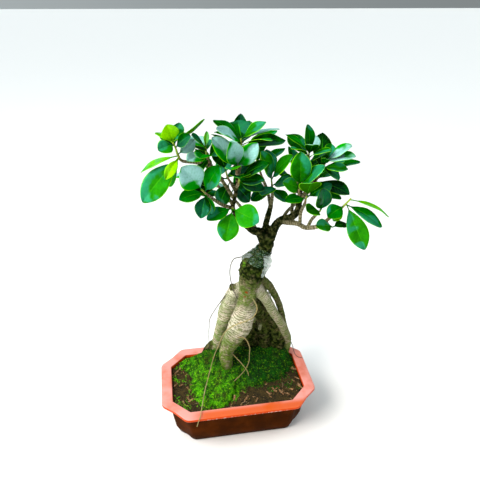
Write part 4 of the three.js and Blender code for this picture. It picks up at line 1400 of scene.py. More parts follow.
@dataclass
class Moss:
    """The cushion of moss: a mound with humps under a coat of fine sprigs."""

    centre: tuple[float, float] = (8, 26)
    level: float = 54.3
    edge: Points = (
        (66, 50), (40, 57), (5, 50), (-42, 43), (-62, 39), (-77, 33), (-78, 20), (-64, 6), (-59, -15),
        (-51, -38), (-38, -54), (-14, -50), (-4, -34), (6, -22), (24, -14), (42, -9),
        (60, 0), (72, 12), (78, 26), (78, 40),
    )
    mound: Points = ((1, 0), (0.95, 3.8), (0.78, 8.6), (0.5, 14), (0.2, 18.5))
    humps: Points = ((64, 45, 22, 17), (-36, 42, 20, 9), (36, 46, 20, 8), (6, 44, 20, 10))
    top: float = 19.4
    around: int = 150
    outward: int = 46
    sprig_seed: int = 21

    def outline(self) -> np.ndarray:
        """The moss's edge on the soil, with small uneven bites.

        Returns:
            A point for each step around, in the plant's axes.
        """
        ring = np.array(self.edge, float)
        n = len(ring)
        shares = np.arange(self.around) / self.around * n
        low = shares.astype(int)
        line = spanned([ring[(low + k) % n] for k in (-1, 0, 1, 2)], (shares - low)[:, None])
        bite = ripples(line, (0.16, 0, 6), (0.06, 5, 2.5), start=1)
        middle = np.array(self.centre)
        return middle + (line - middle) * np.minimum(bite, 1.01)[:, None]

    def outside(self, place: np.ndarray) -> np.ndarray:
        """How far places in the frame lie outside the moss's edge, in millimetres.

        Args:
            place: the places, in metres.

        Returns:
            A number for each place, below 0 inside.
        """
        flat = np.column_stack([np.vstack([self.outline(), self.centre]), np.zeros(self.around + 1)])
        *ring, middle = in_frame(flat)[:, :2]
        spokes, own = np.array(ring) - middle, place[:, :2] - middle
        bearing = np.arctan2(spokes[:, 1], spokes[:, 0])
        order = np.argsort(bearing)
        lengths = np.linalg.norm(spokes, axis=1)
        turn = np.arctan2(own[:, 1], own[:, 0])
        reach = np.interp(turn, bearing[order], lengths[order], period=2 * math.pi)
        return (np.linalg.norm(own, axis=1) - reach) / MM

    def rise(self, x: np.ndarray, y: np.ndarray, share: np.ndarray) -> np.ndarray:
        """The height of the mound above its level, at places and shares of the way out.

        Args:
            x: the places' x in millimetres.
            y: their y.
            share: how far out each one is, from 0 to 1.

        Returns:
            A height in millimetres for each place.
        """
        steps = sorted((s, h) for s, h in self.mound)
        shares, heights = [0.0, *(s for s, _ in steps)], [self.top, *(h for _, h in steps)]
        high = np.interp(share, shares, heights)
        for hx, hy, reach, top in self.humps:
            away = np.hypot(x - hx, y - hy) / reach
            high = high + top * np.exp(-(away**2)) * np.minimum(1, (1 - share) * 8)
        return high

    def build(self) -> bpy.types.Object:
        """Builds the mound under the sprigs.

        Returns:
            The mound with its finish.
        """
        outline, middle = self.outline(), np.array(self.centre)
        rows = []
        for share in np.linspace(1, 0.02, self.outward) ** 0.8:
            xy = middle + (outline - middle) * share
            z = self.rise(xy[:, 0], xy[:, 1], np.full(len(xy), share))
            z = z - 0.9 + ripples(xy, (1.1, 3, 9), (0.7, 8, 3.5)) * min(1, (1 - share) * 12)
            rows.append(np.column_stack([xy, self.level + np.maximum(z, -0.2)]))
        foot = rows[0].copy()
        foot[:, 2] = self.level - 0.4
        shell = Shell()
        shell.loft([foot, *rows])
        # Painted shade: the bed under the sprigs takes darker copies of the moss greens
        shaded_greens = ((0.03, 0.14, 0.0), (0.003, 0.04, 0.0), (0.0, 0.01, 0.0), (0.05, 0.2, 0.0))
        finish = MossGreen("moss_bed", *shaded_greens)
        return placed(shell.mesh("moss_bed", [finish.material()]), "moss_bed")

    def sprig(self) -> bpy.types.Object:
        """One sprig: a star of narrow leaflets that curve up from a stalk.

        Returns:
            The sprig, kept out of the scene's collection.
        """
        points: list[Sequence[float]] = []
        faces: list[tuple[int, ...]] = []
        for k in range(6):
            a = 2 * math.pi * k / 6 + 0.2 * (k % 2)
            lift = 1.5 if k % 2 else 0.8
            out, side = np.array([math.cos(a), math.sin(a), 0]), np.array([-math.sin(a), math.cos(a), 0])
            i = len(points)
            points += [(out * 0.1 - side * 0.1).tolist(), (out * 0.1 + side * 0.1).tolist()]
            mid = out * 0.65 + np.array([0, 0, lift * 0.55])
            points += [(mid + side * 0.26).tolist(), (mid - side * 0.26).tolist()]
            points.append((out * 1.15 + np.array([0, 0, lift])).tolist())
            faces += [(i, i + 1, i + 2, i + 3), (i + 3, i + 2, i + 4)]
        return small_shape("sprig", points, faces)

    def dress(self, moss: bpy.types.Object, soil: bpy.types.Object, scatter: Scatter) -> None:
        """Covers the mound with sprigs, and strews small tufts on the soil in front of it.

        Args:
            moss: the mound.
            soil: the block of soil.
            scatter: the tree that spreads shapes.
        """
        at, up = positions(moss.data), normals(moss.data)
        covered(moss.data, np.clip(0.75 + 0.6 * lumps(at, 0.009, 5.0), 0.3, 1) * (up[:, 2] > 0.1))
        sprig = self.sprig()
        finish = MossGreen("moss_sprigs").material()
        sprigs = scatter.over(
            moss, "moss_sprigs", Shape=sprig, Density=950000.0, Smallest=0.6, Largest=1.28, Tilt=0.5,
            Sink=-0.0002, Seed=self.sprig_seed, Finish=finish,
        )
        declared(sprigs, "moss", "moss")
        declared(moss, "moss", "moss")
        place = positions(soil.data)
        front = (place[:, 0] < 0.0) | (place[:, 1] > -0.03)
        patch = np.clip(lumps(place, 0.011, 7.0) * 3 - 0.35, 0, 1) * front
        border = np.clip(1.6 - self.outside(place) / 5, 0, 1)
        border = border * np.clip(0.35 + 1.6 * lumps(place, 0.006, 2.0), 0, 1)
        patch = np.maximum(patch, 0.6 * border) * (normals(soil.data)[:, 2] > 0.5)
        covered(soil.data, patch * (place[:, 2] > 0.05))
        strewn = scatter.over(soil, "moss_tufts", Shape=sprig, Density=500000.0, Smallest=0.6, Largest=1.3,
                              Tilt=0.6, Sink=0.0, Seed=self.sprig_seed + 1, Finish=finish)
        declared(strewn, "moss")


# Tree


class Tone(Enum):
    """How the bark of a limb looks: pale, green and dark shares at its start and its end; on the shady and
    hidden roots the dark share is painted shade.
    """

    TORSO = ((0.0, 0.55, 0.8), (0.1, 0.8, 0.1))
    PALE_ROOT = ((0.85, 0.25, 0.0), (0.3, 0.85, 0.1))
    SPECKLED_ROOT = ((0.7, 0.25, 0.1), (0.1, 0.7, 0.4))
    SHADY_ROOT = ((0.1, 0.6, 0.6), (0.0, 0.4, 0.8))
    # Painted shade: the hidden roots are darkened because they lie in shade between the legs
    HIDDEN_ROOT_IN_SHADE = ((0.0, 0.6, 0.75), (0.0, 0.55, 0.9))
    BRANCH = ((0.0, 0.3, 0.95), (0.08, 0.1, 0.9))
    TWIG = ((0.2, 0.0, 0.65), (0.3, 0.0, 0.38))


@dataclass(frozen=True)
class Wood(Limb):
    """A limb of the tree with its tone."""

    tone: Tone = Tone.TORSO


TRUNK = Wood((
    (37.5, 18, 257, 8.6), (36.5, 18, 248, 9), (32.5, 18, 239, 9.8), (26.5, 19, 229, 13), (22, 20, 217, 16.4),
    (19.6, 21, 204, 15.2), (17, 22, 190, 13.4), (15, 23, 176, 12.2), (14, 24, 162, 12.2),
    (11.4, 22, 147, 13.6), (5.4, 18, 128, 15.6), (-2.6, 14, 114, 12.6), (-11.4, 10, 98, 9.8),
    (-13, 7, 84, 9.2), (-12, 5, 71, 7.4), (-10, 5, 58, 5.4), (-8, 6, 46, 4),
))
ROOTS = (
    Wood(((8, 23, 188, 7), (-2, 26, 177, 8.6), (-8, 29, 160, 9.8), (-12, 32, 146, 10.2),
          (-16.4, 36, 126, 9.2), (-20.6, 40, 107, 8.6), (-25.8, 43, 84, 8), (-30.5, 43, 66, 7.4),
          (-33, 41, 48, 6)), Tone.PALE_ROOT),
    Wood(((22, 20, 194, 8.4), (29, 22, 182, 8), (39.5, 23, 167, 6.8), (49.5, 27, 144, 6), (61, 32, 122, 5.8),
          (69, 38, 101, 5.8), (72, 42, 82, 5.6), (70, 42, 64, 5), (66, 40, 48, 4.2)), Tone.SPECKLED_ROOT),
    Wood(((20, 22, 208, 7), (29, 24, 199, 6), (40, 26, 190, 5.2), (51.4, 31, 168, 4.4), (59, 36, 146, 4.2),
          (66, 42, 114, 4.2), (70.4, 44, 93, 4.4), (71.5, 44, 78, 4.6), (69, 42, 62, 4.2), (66, 41, 48, 3.6)),
         Tone.SHADY_ROOT),
    Wood(((14, 26, 176, 10), (22, 32, 158, 11), (30, 40, 136, 12), (37, 45, 112, 13), (40, 46, 88, 13),
          (40, 45, 66, 10), (40, 44, 48, 7.4)), Tone.HIDDEN_ROOT_IN_SHADE),
    Wood(((26, 34, 158, 7), (38, 42, 140, 9), (50, 45, 118, 11), (58, 44, 96, 12), (59, 42, 76, 10),
          (57, 40, 48, 7)), Tone.HIDDEN_ROOT_IN_SHADE),
    Wood(((14, 28, 168, 9), (14, 40, 148, 11), (16, 47, 122, 14), (17, 48, 96, 16), (17, 48, 74, 14),
          (14, 46, 48, 8)), Tone.HIDDEN_ROOT_IN_SHADE),
    Wood(((-26, 43, 84, 5), (-34, 43, 78, 5.4), (-41, 42, 70, 5), (-46, 39, 60, 4), (-48, 36, 50, 3)),
         Tone.SHADY_ROOT),
)
KNOBS = (
    Wood(((22, 19, 222, 9), (14, 18, 229, 7.4), (10, 17, 233, 4.6)), Tone.SHADY_ROOT),
    Wood(((6, 24, 183, 5.6), (-3, 23, 186, 4.8), (-8, 22, 187, 3.2)), Tone.SHADY_ROOT),
    Wood(((26, 40, 140, 4.4), (24, 30, 132, 3.2), (23, 25, 128, 2.2)), Tone.PALE_ROOT),
    Wood(((32, 40, 124, 4), (32, 28, 119, 2.6), (32, 24, 117, 1.8)), Tone.PALE_ROOT),
)
BRANCHES = (
    Wood(((36.5, 18, 246, 8), (34.5, 18, 256, 7), (29, 18, 266, 5.6), (22, 16, 269, 4.6),
          (13.6, 14, 276, 3.7), (5.4, 12, 284, 3.3), (-2.6, 10, 300, 2.7), (-1.4, 8, 310, 2.4),
          (1.8, 6, 330, 2.1), (2.8, 6, 346, 1.8)), Tone.BRANCH),
    Wood(((34.5, 18, 260, 4.6), (36, 20, 275, 3.8), (39, 22, 288, 3.4), (41.7, 24, 299, 2.8)), Tone.BRANCH),
    Wood(((36.5, 18, 246, 8), (39.5, 18, 256, 7.2), (43.6, 17, 267, 6), (47.6, 17, 275.5, 5.2),
          (53.3, 17, 282, 4.8), (66, 18, 286, 4.4), (72.6, 19, 293, 4), (74, 20, 303, 3.6),
          (74.6, 21, 318, 2.7)), Tone.BRANCH),
    Wood(((53, 17, 282, 3.8), (61.6, 14, 281, 3.4), (72, 11, 281, 3.1), (82, 8, 277, 2.9), (95, 5, 280, 2.6),
          (104.5, 3, 288.5, 2.2)), Tone.TWIG),
    Wood(((29, 18, 268, 2.6), (34, 12, 267, 1.5), (40, 12, 265, 2.6)), Tone.BRANCH),
)
AERIAL_ROOTS = (
    ((12, 14, 236), (7, 10, 237), (-3, 8, 234), (-7, 8, 217), (-4, 13, 192), (2, 16, 172)),
    ((-4, 23, 184), (-17, 24, 167), (-34, 30, 134), (-37, 34, 113), (-38, 38, 92), (-38, 38, 70)),
    ((20, 14, 178), (27, 8, 165), (23, 4, 154), (13, 3, 147), (-2, 2, 141), (-15, 3, 128), (-24, 12, 98),
     (-30, 14, 80), (-39, -31, 67), (-42, -58, 61), (-43, -72, 60), (-45, -77.5, 57), (-47, -78.5, 50)),
    ((-12, 8, 117), (7, 2, 122), (14, 1, 118), (18, 4, 103), (18, 10, 86), (17, 8, 74), (10, -5, 70),
     (-5, -20, 64)),
    ((-6, 7, 92), (7, 3, 78), (15, -3, 70), (17, -6, 64)),
    ((72, 45, 92), (79, 43, 78), (83, 37, 66), (88, 36, 60.4), (94, 35, 59.8)),
)


@dataclass
class Tree:
    """The ginseng rootstock with its roots, branches, twigs and thin aerial roots, grown as one."""

    voxel: float = 0.95
    sides: int = 22
    ring_step: float = 2.5
    smooth_rounds: int = 3
    # Each crease is its limb's number, its height and its depth.
    creases: Points = ((1, 129, 1.6), (0, 108, 1.3), (0, 92, 0.9), (1, 108, 0.8))
    # The heights where the tint changes, each with how far the change takes: from the torso up, from the
    # torso down to the front leg, about the leg's pale bulge, and down to the wet soil.
    upper: tuple[float, float] = (184, 26)
    leg: tuple[float, float] = (172, 14)
    bulge: tuple[float, float] = (142, 27)
    wet: tuple[float, float] = (78, 14)
    point_step: float = 1.5
    batch: int = 4000

    def limbs(self) -> list[Wood]:
        """Every limb that is blended into the trunk."""
        return [TRUNK, *ROOTS, *KNOBS, *BRANCHES]

    def build(self) -> bpy.types.Object:
        """Builds the limbs as one skin with lumps and folds.

        Returns:
            The tree's wood with its tint, without its finish.
        """
        rough = Shell()
        for limb in self.limbs():
            rough.tube(limb, self.sides, self.ring_step)
        tree = placed(rough.mesh("tree_wood", []), "tree_wood")
        melt = tree.modifiers.new("melt", "REMESH")
        melt.mode, melt.voxel_size = "VOXEL", self.voxel * MM
        soften = tree.modifiers.new("soften", "SMOOTH")
        soften.factor, soften.iterations = 0.5, self.smooth_rounds
        settled(tree)
        self.weather(tree.data)
        self.tint(tree.data)
        return tree

    def weather(self, mesh: bpy.types.Mesh) -> None:
        """Pushes the skin in and out in lumps and fine ridges, less on thin limbs.

        Args:
            mesh: the wood's mesh, smooth so far.
        """
        at = positions(mesh)
        owner, _, radius, along = self.nearest(at)
        share = np.clip(radius / 9, 0.15, 1.2)
        ring = np.sin(along / 4.5 * 2 * math.pi + 6 * lumps(at, 0.016, 1.0))
        high = 0.8 * lumps(at, 0.013, 2.0) + 0.5 * lumps(at, 0.005, 4.0) + 0.3 * ring
        upper = np.clip((at[:, 2] - 0.18) / 0.02, 0, 1) * (owner == 0)
        high = high + upper * (1.9 * lumps(at, 0.0042, 6.0) + 1.2 * lumps(at, 0.009, 8.0))
        for limb, level, depth in self.creases:
            off = (at[:, 2] / MM - level + 1.5 * lumps(at, 0.02, 4.0)) / 1.1
            high = high - depth * np.exp(-(off**2)) * (owner == limb)
        pushed(mesh, high * share * MM)

    def nearest(self, at: np.ndarray) -> tuple[np.ndarray, ...]:
        """The limb that each point lies on.

        Args:
            at: points in the frame.

        Returns:
            For each point the limb's number, its share along it, its radius there and its place along in mm.
        """
        centres, owners, shares, radii, along = [], [], [], [], []
        for k, limb in enumerate(self.limbs()):
            share = np.linspace(0, 1, max(8, round(limb.length() / self.point_step)))
            centres.append(in_frame(limb.path().at(share)))
            owners.append(np.full(len(share), k))
            shares.append(share)
            radii.append(limb.radius(share))
            along.append(share * limb.length())
        middle, radius = np.vstack(centres), np.concatenate(radii)
        found = np.zeros(len(at), int)
        for i in range(0, len(at), self.batch):
            part = at[i : i + self.batch]
            away = np.linalg.norm(part[:, None] - middle[None], axis=2) / MM - radius
            found[i : i + self.batch] = away.argmin(axis=1)
        owner, share, place = (np.concatenate(rows)[found] for rows in (owners, shares, along))
        return owner, share, radius[found], place

    def tint(self, mesh: bpy.types.Mesh) -> None:
        """Writes the look attribute: how pale, green and dark, and the place along the limb.

        Args:
            mesh: the wood's mesh.
        """
        at = positions(mesh)
        owner, share, _, along = self.nearest(at)
        tones = np.array([limb.tone.value for limb in self.limbs()])
        first, last = tones[owner, 0], tones[owner, 1]
        look = first + (last - first) * share[:, None]
        high = at[:, 2] / MM
        trunk = owner == 0
        upper = np.clip((high - self.upper[0]) / self.upper[1], 0, 1)
        torso = np.column_stack([0.22 * (1 - upper), 0.7 - 0.1 * upper, 0.34 + 0.54 * upper])
        leg = np.clip((self.leg[0] - high) / self.leg[1], 0, 1)[:, None]
        bulge = np.exp(-((high - self.bulge[0]) / self.bulge[1]) ** 2)
        front = np.column_stack([0.15 + 0.62 * bulge, 0.8 - 0.62 * bulge, 0.4 - 0.38 * bulge])
        look[trunk] = (torso * (1 - leg) + front * leg)[trunk]
        soaked = np.clip((self.wet[0] - high) / self.wet[1], 0, 1)[:, None]
        look[:, 1:3] = np.clip(look[:, 1:3] + 0.35 * soaked, 0, 1)
        look = self.evened(mesh, look)
        full = np.column_stack([look, along * MM])
        made = mesh.color_attributes.new("look", "FLOAT_COLOR", "POINT")
        made.data.foreach_set("color", full.astype(np.float32).ravel())

    def evened(self, mesh: bpy.types.Mesh, values: np.ndarray, rounds: int = 6) -> np.ndarray:
        """Spreads values over the mesh's edges, so that they change softly.

        Args:
            mesh: the mesh.
            values: rows with the values of each vertex.
            rounds: how often they spread.

        Returns:
            The softened rows.
        """
        edges = np.zeros(len(mesh.edges) * 2, int)
        mesh.edges.foreach_get("vertices", edges)
        a, b = edges.reshape(-1, 2).T
        count = np.bincount(a, minlength=len(values)) + np.bincount(b, minlength=len(values))
        for _ in range(rounds):
            total = np.zeros_like(values)
            np.add.at(total, a, values[b])
            np.add.at(total, b, values[a])
            values = (values + total / np.maximum(count, 1)[:, None]) / 2
        return values

    def dress(self, tree: bpy.types.Object) -> None:
        """Gives the wood its bark."""
        coated(tree.data, Bark().material())
        declared(tree, "bark", "tree")

    def twigs(self, shoots: Sequence["Shoot"], finish: bpy.types.Material) -> None:
        """Adds the woody twigs that carry the shoots.

        Args:
            shoots: the shoots that the twigs carry.
            finish: the bark.
        """
        shell = Shell()
        for shoot in shoots:
            limb, share = shoot.twig(), shoot.twig_share()
            length = limb.length() * share * MM

            def look(t: float, n: float = length) -> tuple[float, float, float, float]:
                """Pale towards the twig's end, with the place along it in metres."""
                return 0.12 + 0.2 * t, 0.12, 0.6 - 0.25 * t, t * n

            shell.tube(limb, 12, 1.6, 0, share, look=look)
        twigs = placed(shell.mesh("tree_twigs", [finish]), "tree_twigs")
        pushed(twigs.data, 0.22 * MM * lumps(positions(twigs.data), 0.0035, 3.0))
        declared(twigs, "bark", "tree")

    def hang(self, strand: Strand) -> None:
        """Adds the thin aerial roots, the loops on the left grey and the others tan.

        Args:
            strand: the tree that lays strands.
        """
        greys = ((0.16, 0.13, 0.1), (0.07, 0.055, 0.04), (0.26, 0.22, 0.17))
        tans = ((0.5, 0.42, 0.2), (0.26, 0.22, 0.08), (0.55, 0.28, 0.1))
        grey = PlantMatter("grey_threads", *greys, 60, 500, 0.7)
        tan = PlantMatter("tan_threads", *tans, 60, 500, 0.7)
        for name, lines, finish, radius, seed in (
            ("aerial_roots_left", AERIAL_ROOTS[:2], grey, 0.62, 3),
            ("aerial_roots_front", AERIAL_ROOTS[2:5], tan, 0.68, 8),
            ("aerial_root_right", AERIAL_ROOTS[5:], grey, 0.5, 11),
        ):
            sizes = {"Radius": radius * MM, "Wander": 0.5 * MM, "Seed": seed, "Finish": finish.material()}
            roots = strand.along(lines, name, **sizes)
            declared(roots, "bark", "tree")


@dataclass
class GraftTape:
    """The film wrapped round the graft, with its flap and its loose end."""

    gap: float = 0.35
    thickness: float = 0.35
    span: tuple[float, float] = (0.08, 0.2)
    sides: int = 64
    rings: int = 30
    flap: Points = ((20, 7.4, 240.5, 1.2), (14.5, 7.2, 241, 3.2), (8, 6, 239, 2.8))
    loose: Points = ((38, 7, 240, 5.2), (38.5, 5, 232, 5.2), (36, 4, 221, 3.6), (32, 5, 211, 1.6))

    def band(self, shell: Shell) -> None:
        """Adds the wrap, which bridges hollows and stands off in creases.

        Args:
            shell: the film's mesh so far.
        """
        path = TRUNK.path()
        angles = 2 * math.pi * np.arange(self.sides) / self.sides
        rings = []
        for lift in (self.gap + self.thickness, self.gap):
            for share in np.linspace(*self.span, self.rings):
                centre, tangent = path.at(share)[0], path.tangent(share)[0]
                normal = any_normal(tangent)
                across = np.cross(tangent, normal)
                spokes = np.outer(np.cos(angles), normal) + np.outer(np.sin(angles), across)
                ruck = np.array([noise.noise(Vector((4 * s[0], 4 * s[1], share * 60))) for s in spokes])
                radius = float(TRUNK.radius(share)[0]) + lift + 0.8 + 0.7 * ruck
                rings.append(centre + spokes * radius[:, None])
        shell.sheet(rings, True, self.loosened(rings, 0.05))

    def loosened(self, rows: Sequence[np.ndarray], loose: float) -> np.ndarray:
        """How far the film is loose, for every point of its rows."""
        return np.tile([loose, 0, 0, 0], (len(rows) * len(rows[0]), 1))

    def ribbon(self, shell: Shell, points: Points, wide: Sequence[float], seed: float) -> None:
        """Adds a loose ribbon of film that ripples across its width.

        Args:
            shell: the film's mesh so far.
            points: the ribbon's line, each point with half the width there.
            wide: the direction of its width.
            seed: what sets its ripples apart.
        """
        path, across = Path(points), unit(np.array(wide, float))
        skins: list[list[np.ndarray]] = [[], []]
        for share in np.linspace(0, 1, 22):
            centre, tangent = path.at(share)[0], path.tangent(share)[0]
            thin = unit(np.cross(tangent, across))
            half = float(np.interp(share * (len(points) - 1), range(len(points)), [p[3] for p in points]))
            side = np.linspace(-1, 1, 11)
            ripple = np.array([1.8 * noise.noise(Vector((share * 5, s * 2.2, seed))) for s in side])
            half *= 0.9 + 0.5 * noise.noise(Vector((share * 9, 0.5, seed)))
            centre = centre + across * 0.9 * noise.noise(Vector((share * 7, 4.5, seed)))
            for skin, lift in ((0, self.thickness / 2), (1, -self.thickness / 2)):
                skins[skin].append(centre + np.outer(side * half, across) + np.outer(ripple + lift, thin))
        rows = [*skins[0], *skins[1]]
        shell.sheet(rows, False, self.loosened(rows, 1.0))

    def build(self) -> bpy.types.Object:
        """Builds the wrap, the flap and the loose end.

        Returns:
            The film with its finish.
        """
        shell = Shell()
        self.band(shell)
        self.ribbon(shell, self.flap, (0, 0.1, 1), 2.0)
        self.ribbon(shell, self.loose, (1, -0.1, 0), 7.0)
        return placed(shell.mesh("graft_film", [WrapFilm().material()]), "graft_film")

    def dress(self, film: bpy.types.Object) -> None:
        """Turns every face of the film outwards."""
        outwards(film.data)
        declared(film, "tape_film", "graft_tape")


# Shoots and leaves


class Look(Enum):
    """A leaf's youth, the strength of its margin and its tone, which is partly the leaf's own and partly
    painted shade, and above 1 paints a sheen.
    """

    DEEP = (0.0, 0.35, 0.05)
    PLAIN = (0.0, 0.5, 0.4)
    FRESH = (0.06, 0.6, 0.9)
    EDGED = (0.03, 1.0, 0.6)
    LIME = (0.95, 0.6, 1.0)
    PALE = (0.45, 0.8, 1.0)
    # Painted sheen: a pale cyan reflection painted over most of the blade
    PAINTED_SHEEN = (0.0, 0.6, 2.0)


D, P, F, E, Y, G, W = Look.DEEP, Look.PLAIN, Look.FRESH, Look.EDGED, Look.LIME, Look.PALE, Look.PAINTED_SHEEN
FRONT = (0, -0.72, 0.69)
TOP = (0, -0.1, 0.995)


@dataclass(frozen=True)
class Shoot:
    """A shoot: its woody twig, its green stem, and its leaves.

    Each leaf is its place along the stem, its tip's x, y and z, its width, its turn in degrees, and its look.
    """

    node: str
    wood: Points
    stem: Points
    leaves: Sequence[tuple] = ()
    count: int = 0
    light: tuple[float, float, float] = FRONT
    twig_radii: tuple[float, float] = (2.1, 1.5)
    stem_radii: tuple[float, float] = (1.5, 0.9)
    leafy: tuple[float, float] = (0.2, 0.95)
    gap: float = 0.5

    def twig(self) -> Limb:
        """The twig and the stem as one line with the twig's radii.

        Returns:
            The line, with a radius for each point.
        """
        points = [*self.wood, *self.stem]
        radii = np.linspace(*self.twig_radii, len(points))
        return Limb([(*p, r) for p, r in zip(points, radii)])

    def twig_share(self) -> float:
        """The share of that line that is woody."""
        return (len(self.wood) - 1) / (len(self.wood) + len(self.stem) - 1)

    def stem_limb(self) -> Limb:
        """The same line with the stem's radii.

        Returns:
            The line, with a radius for each point.
        """
        points = [*self.wood, *self.stem]
        start, last = len(self.wood) - 1, len(points) - 1
        low, high = self.stem_radii
        shares = [max(0, (i - start) / (last - start)) for i in range(len(points))]
        return Limb([(*p, low + (high - low) * s) for p, s in zip(points, shares)])

    def stem_start(self) -> float:
        """Where the green stem starts, a gap past the twig's end.

        Returns:
            A share of the line.
        """
        path, share, nudge = self.twig().path(), self.twig_share(), 0.01
        speed = np.linalg.norm(path.at(share + nudge) - path.at(share)) / nudge
        return share + self.gap / float(speed)

    def point(self, at: float) -> np.ndarray:
        """Where a leaf grows, at a share of the leafy part.

        Args:
            at: the share, 0 at that part's start and 1 at its end.

        Returns:
            The point in the plant's axes.
        """
        start = self.twig_share()
        inside = self.leafy[0] + (self.leafy[1] - self.leafy[0]) * at
        return self.twig().path().at(start + (1 - start) * inside)[0]


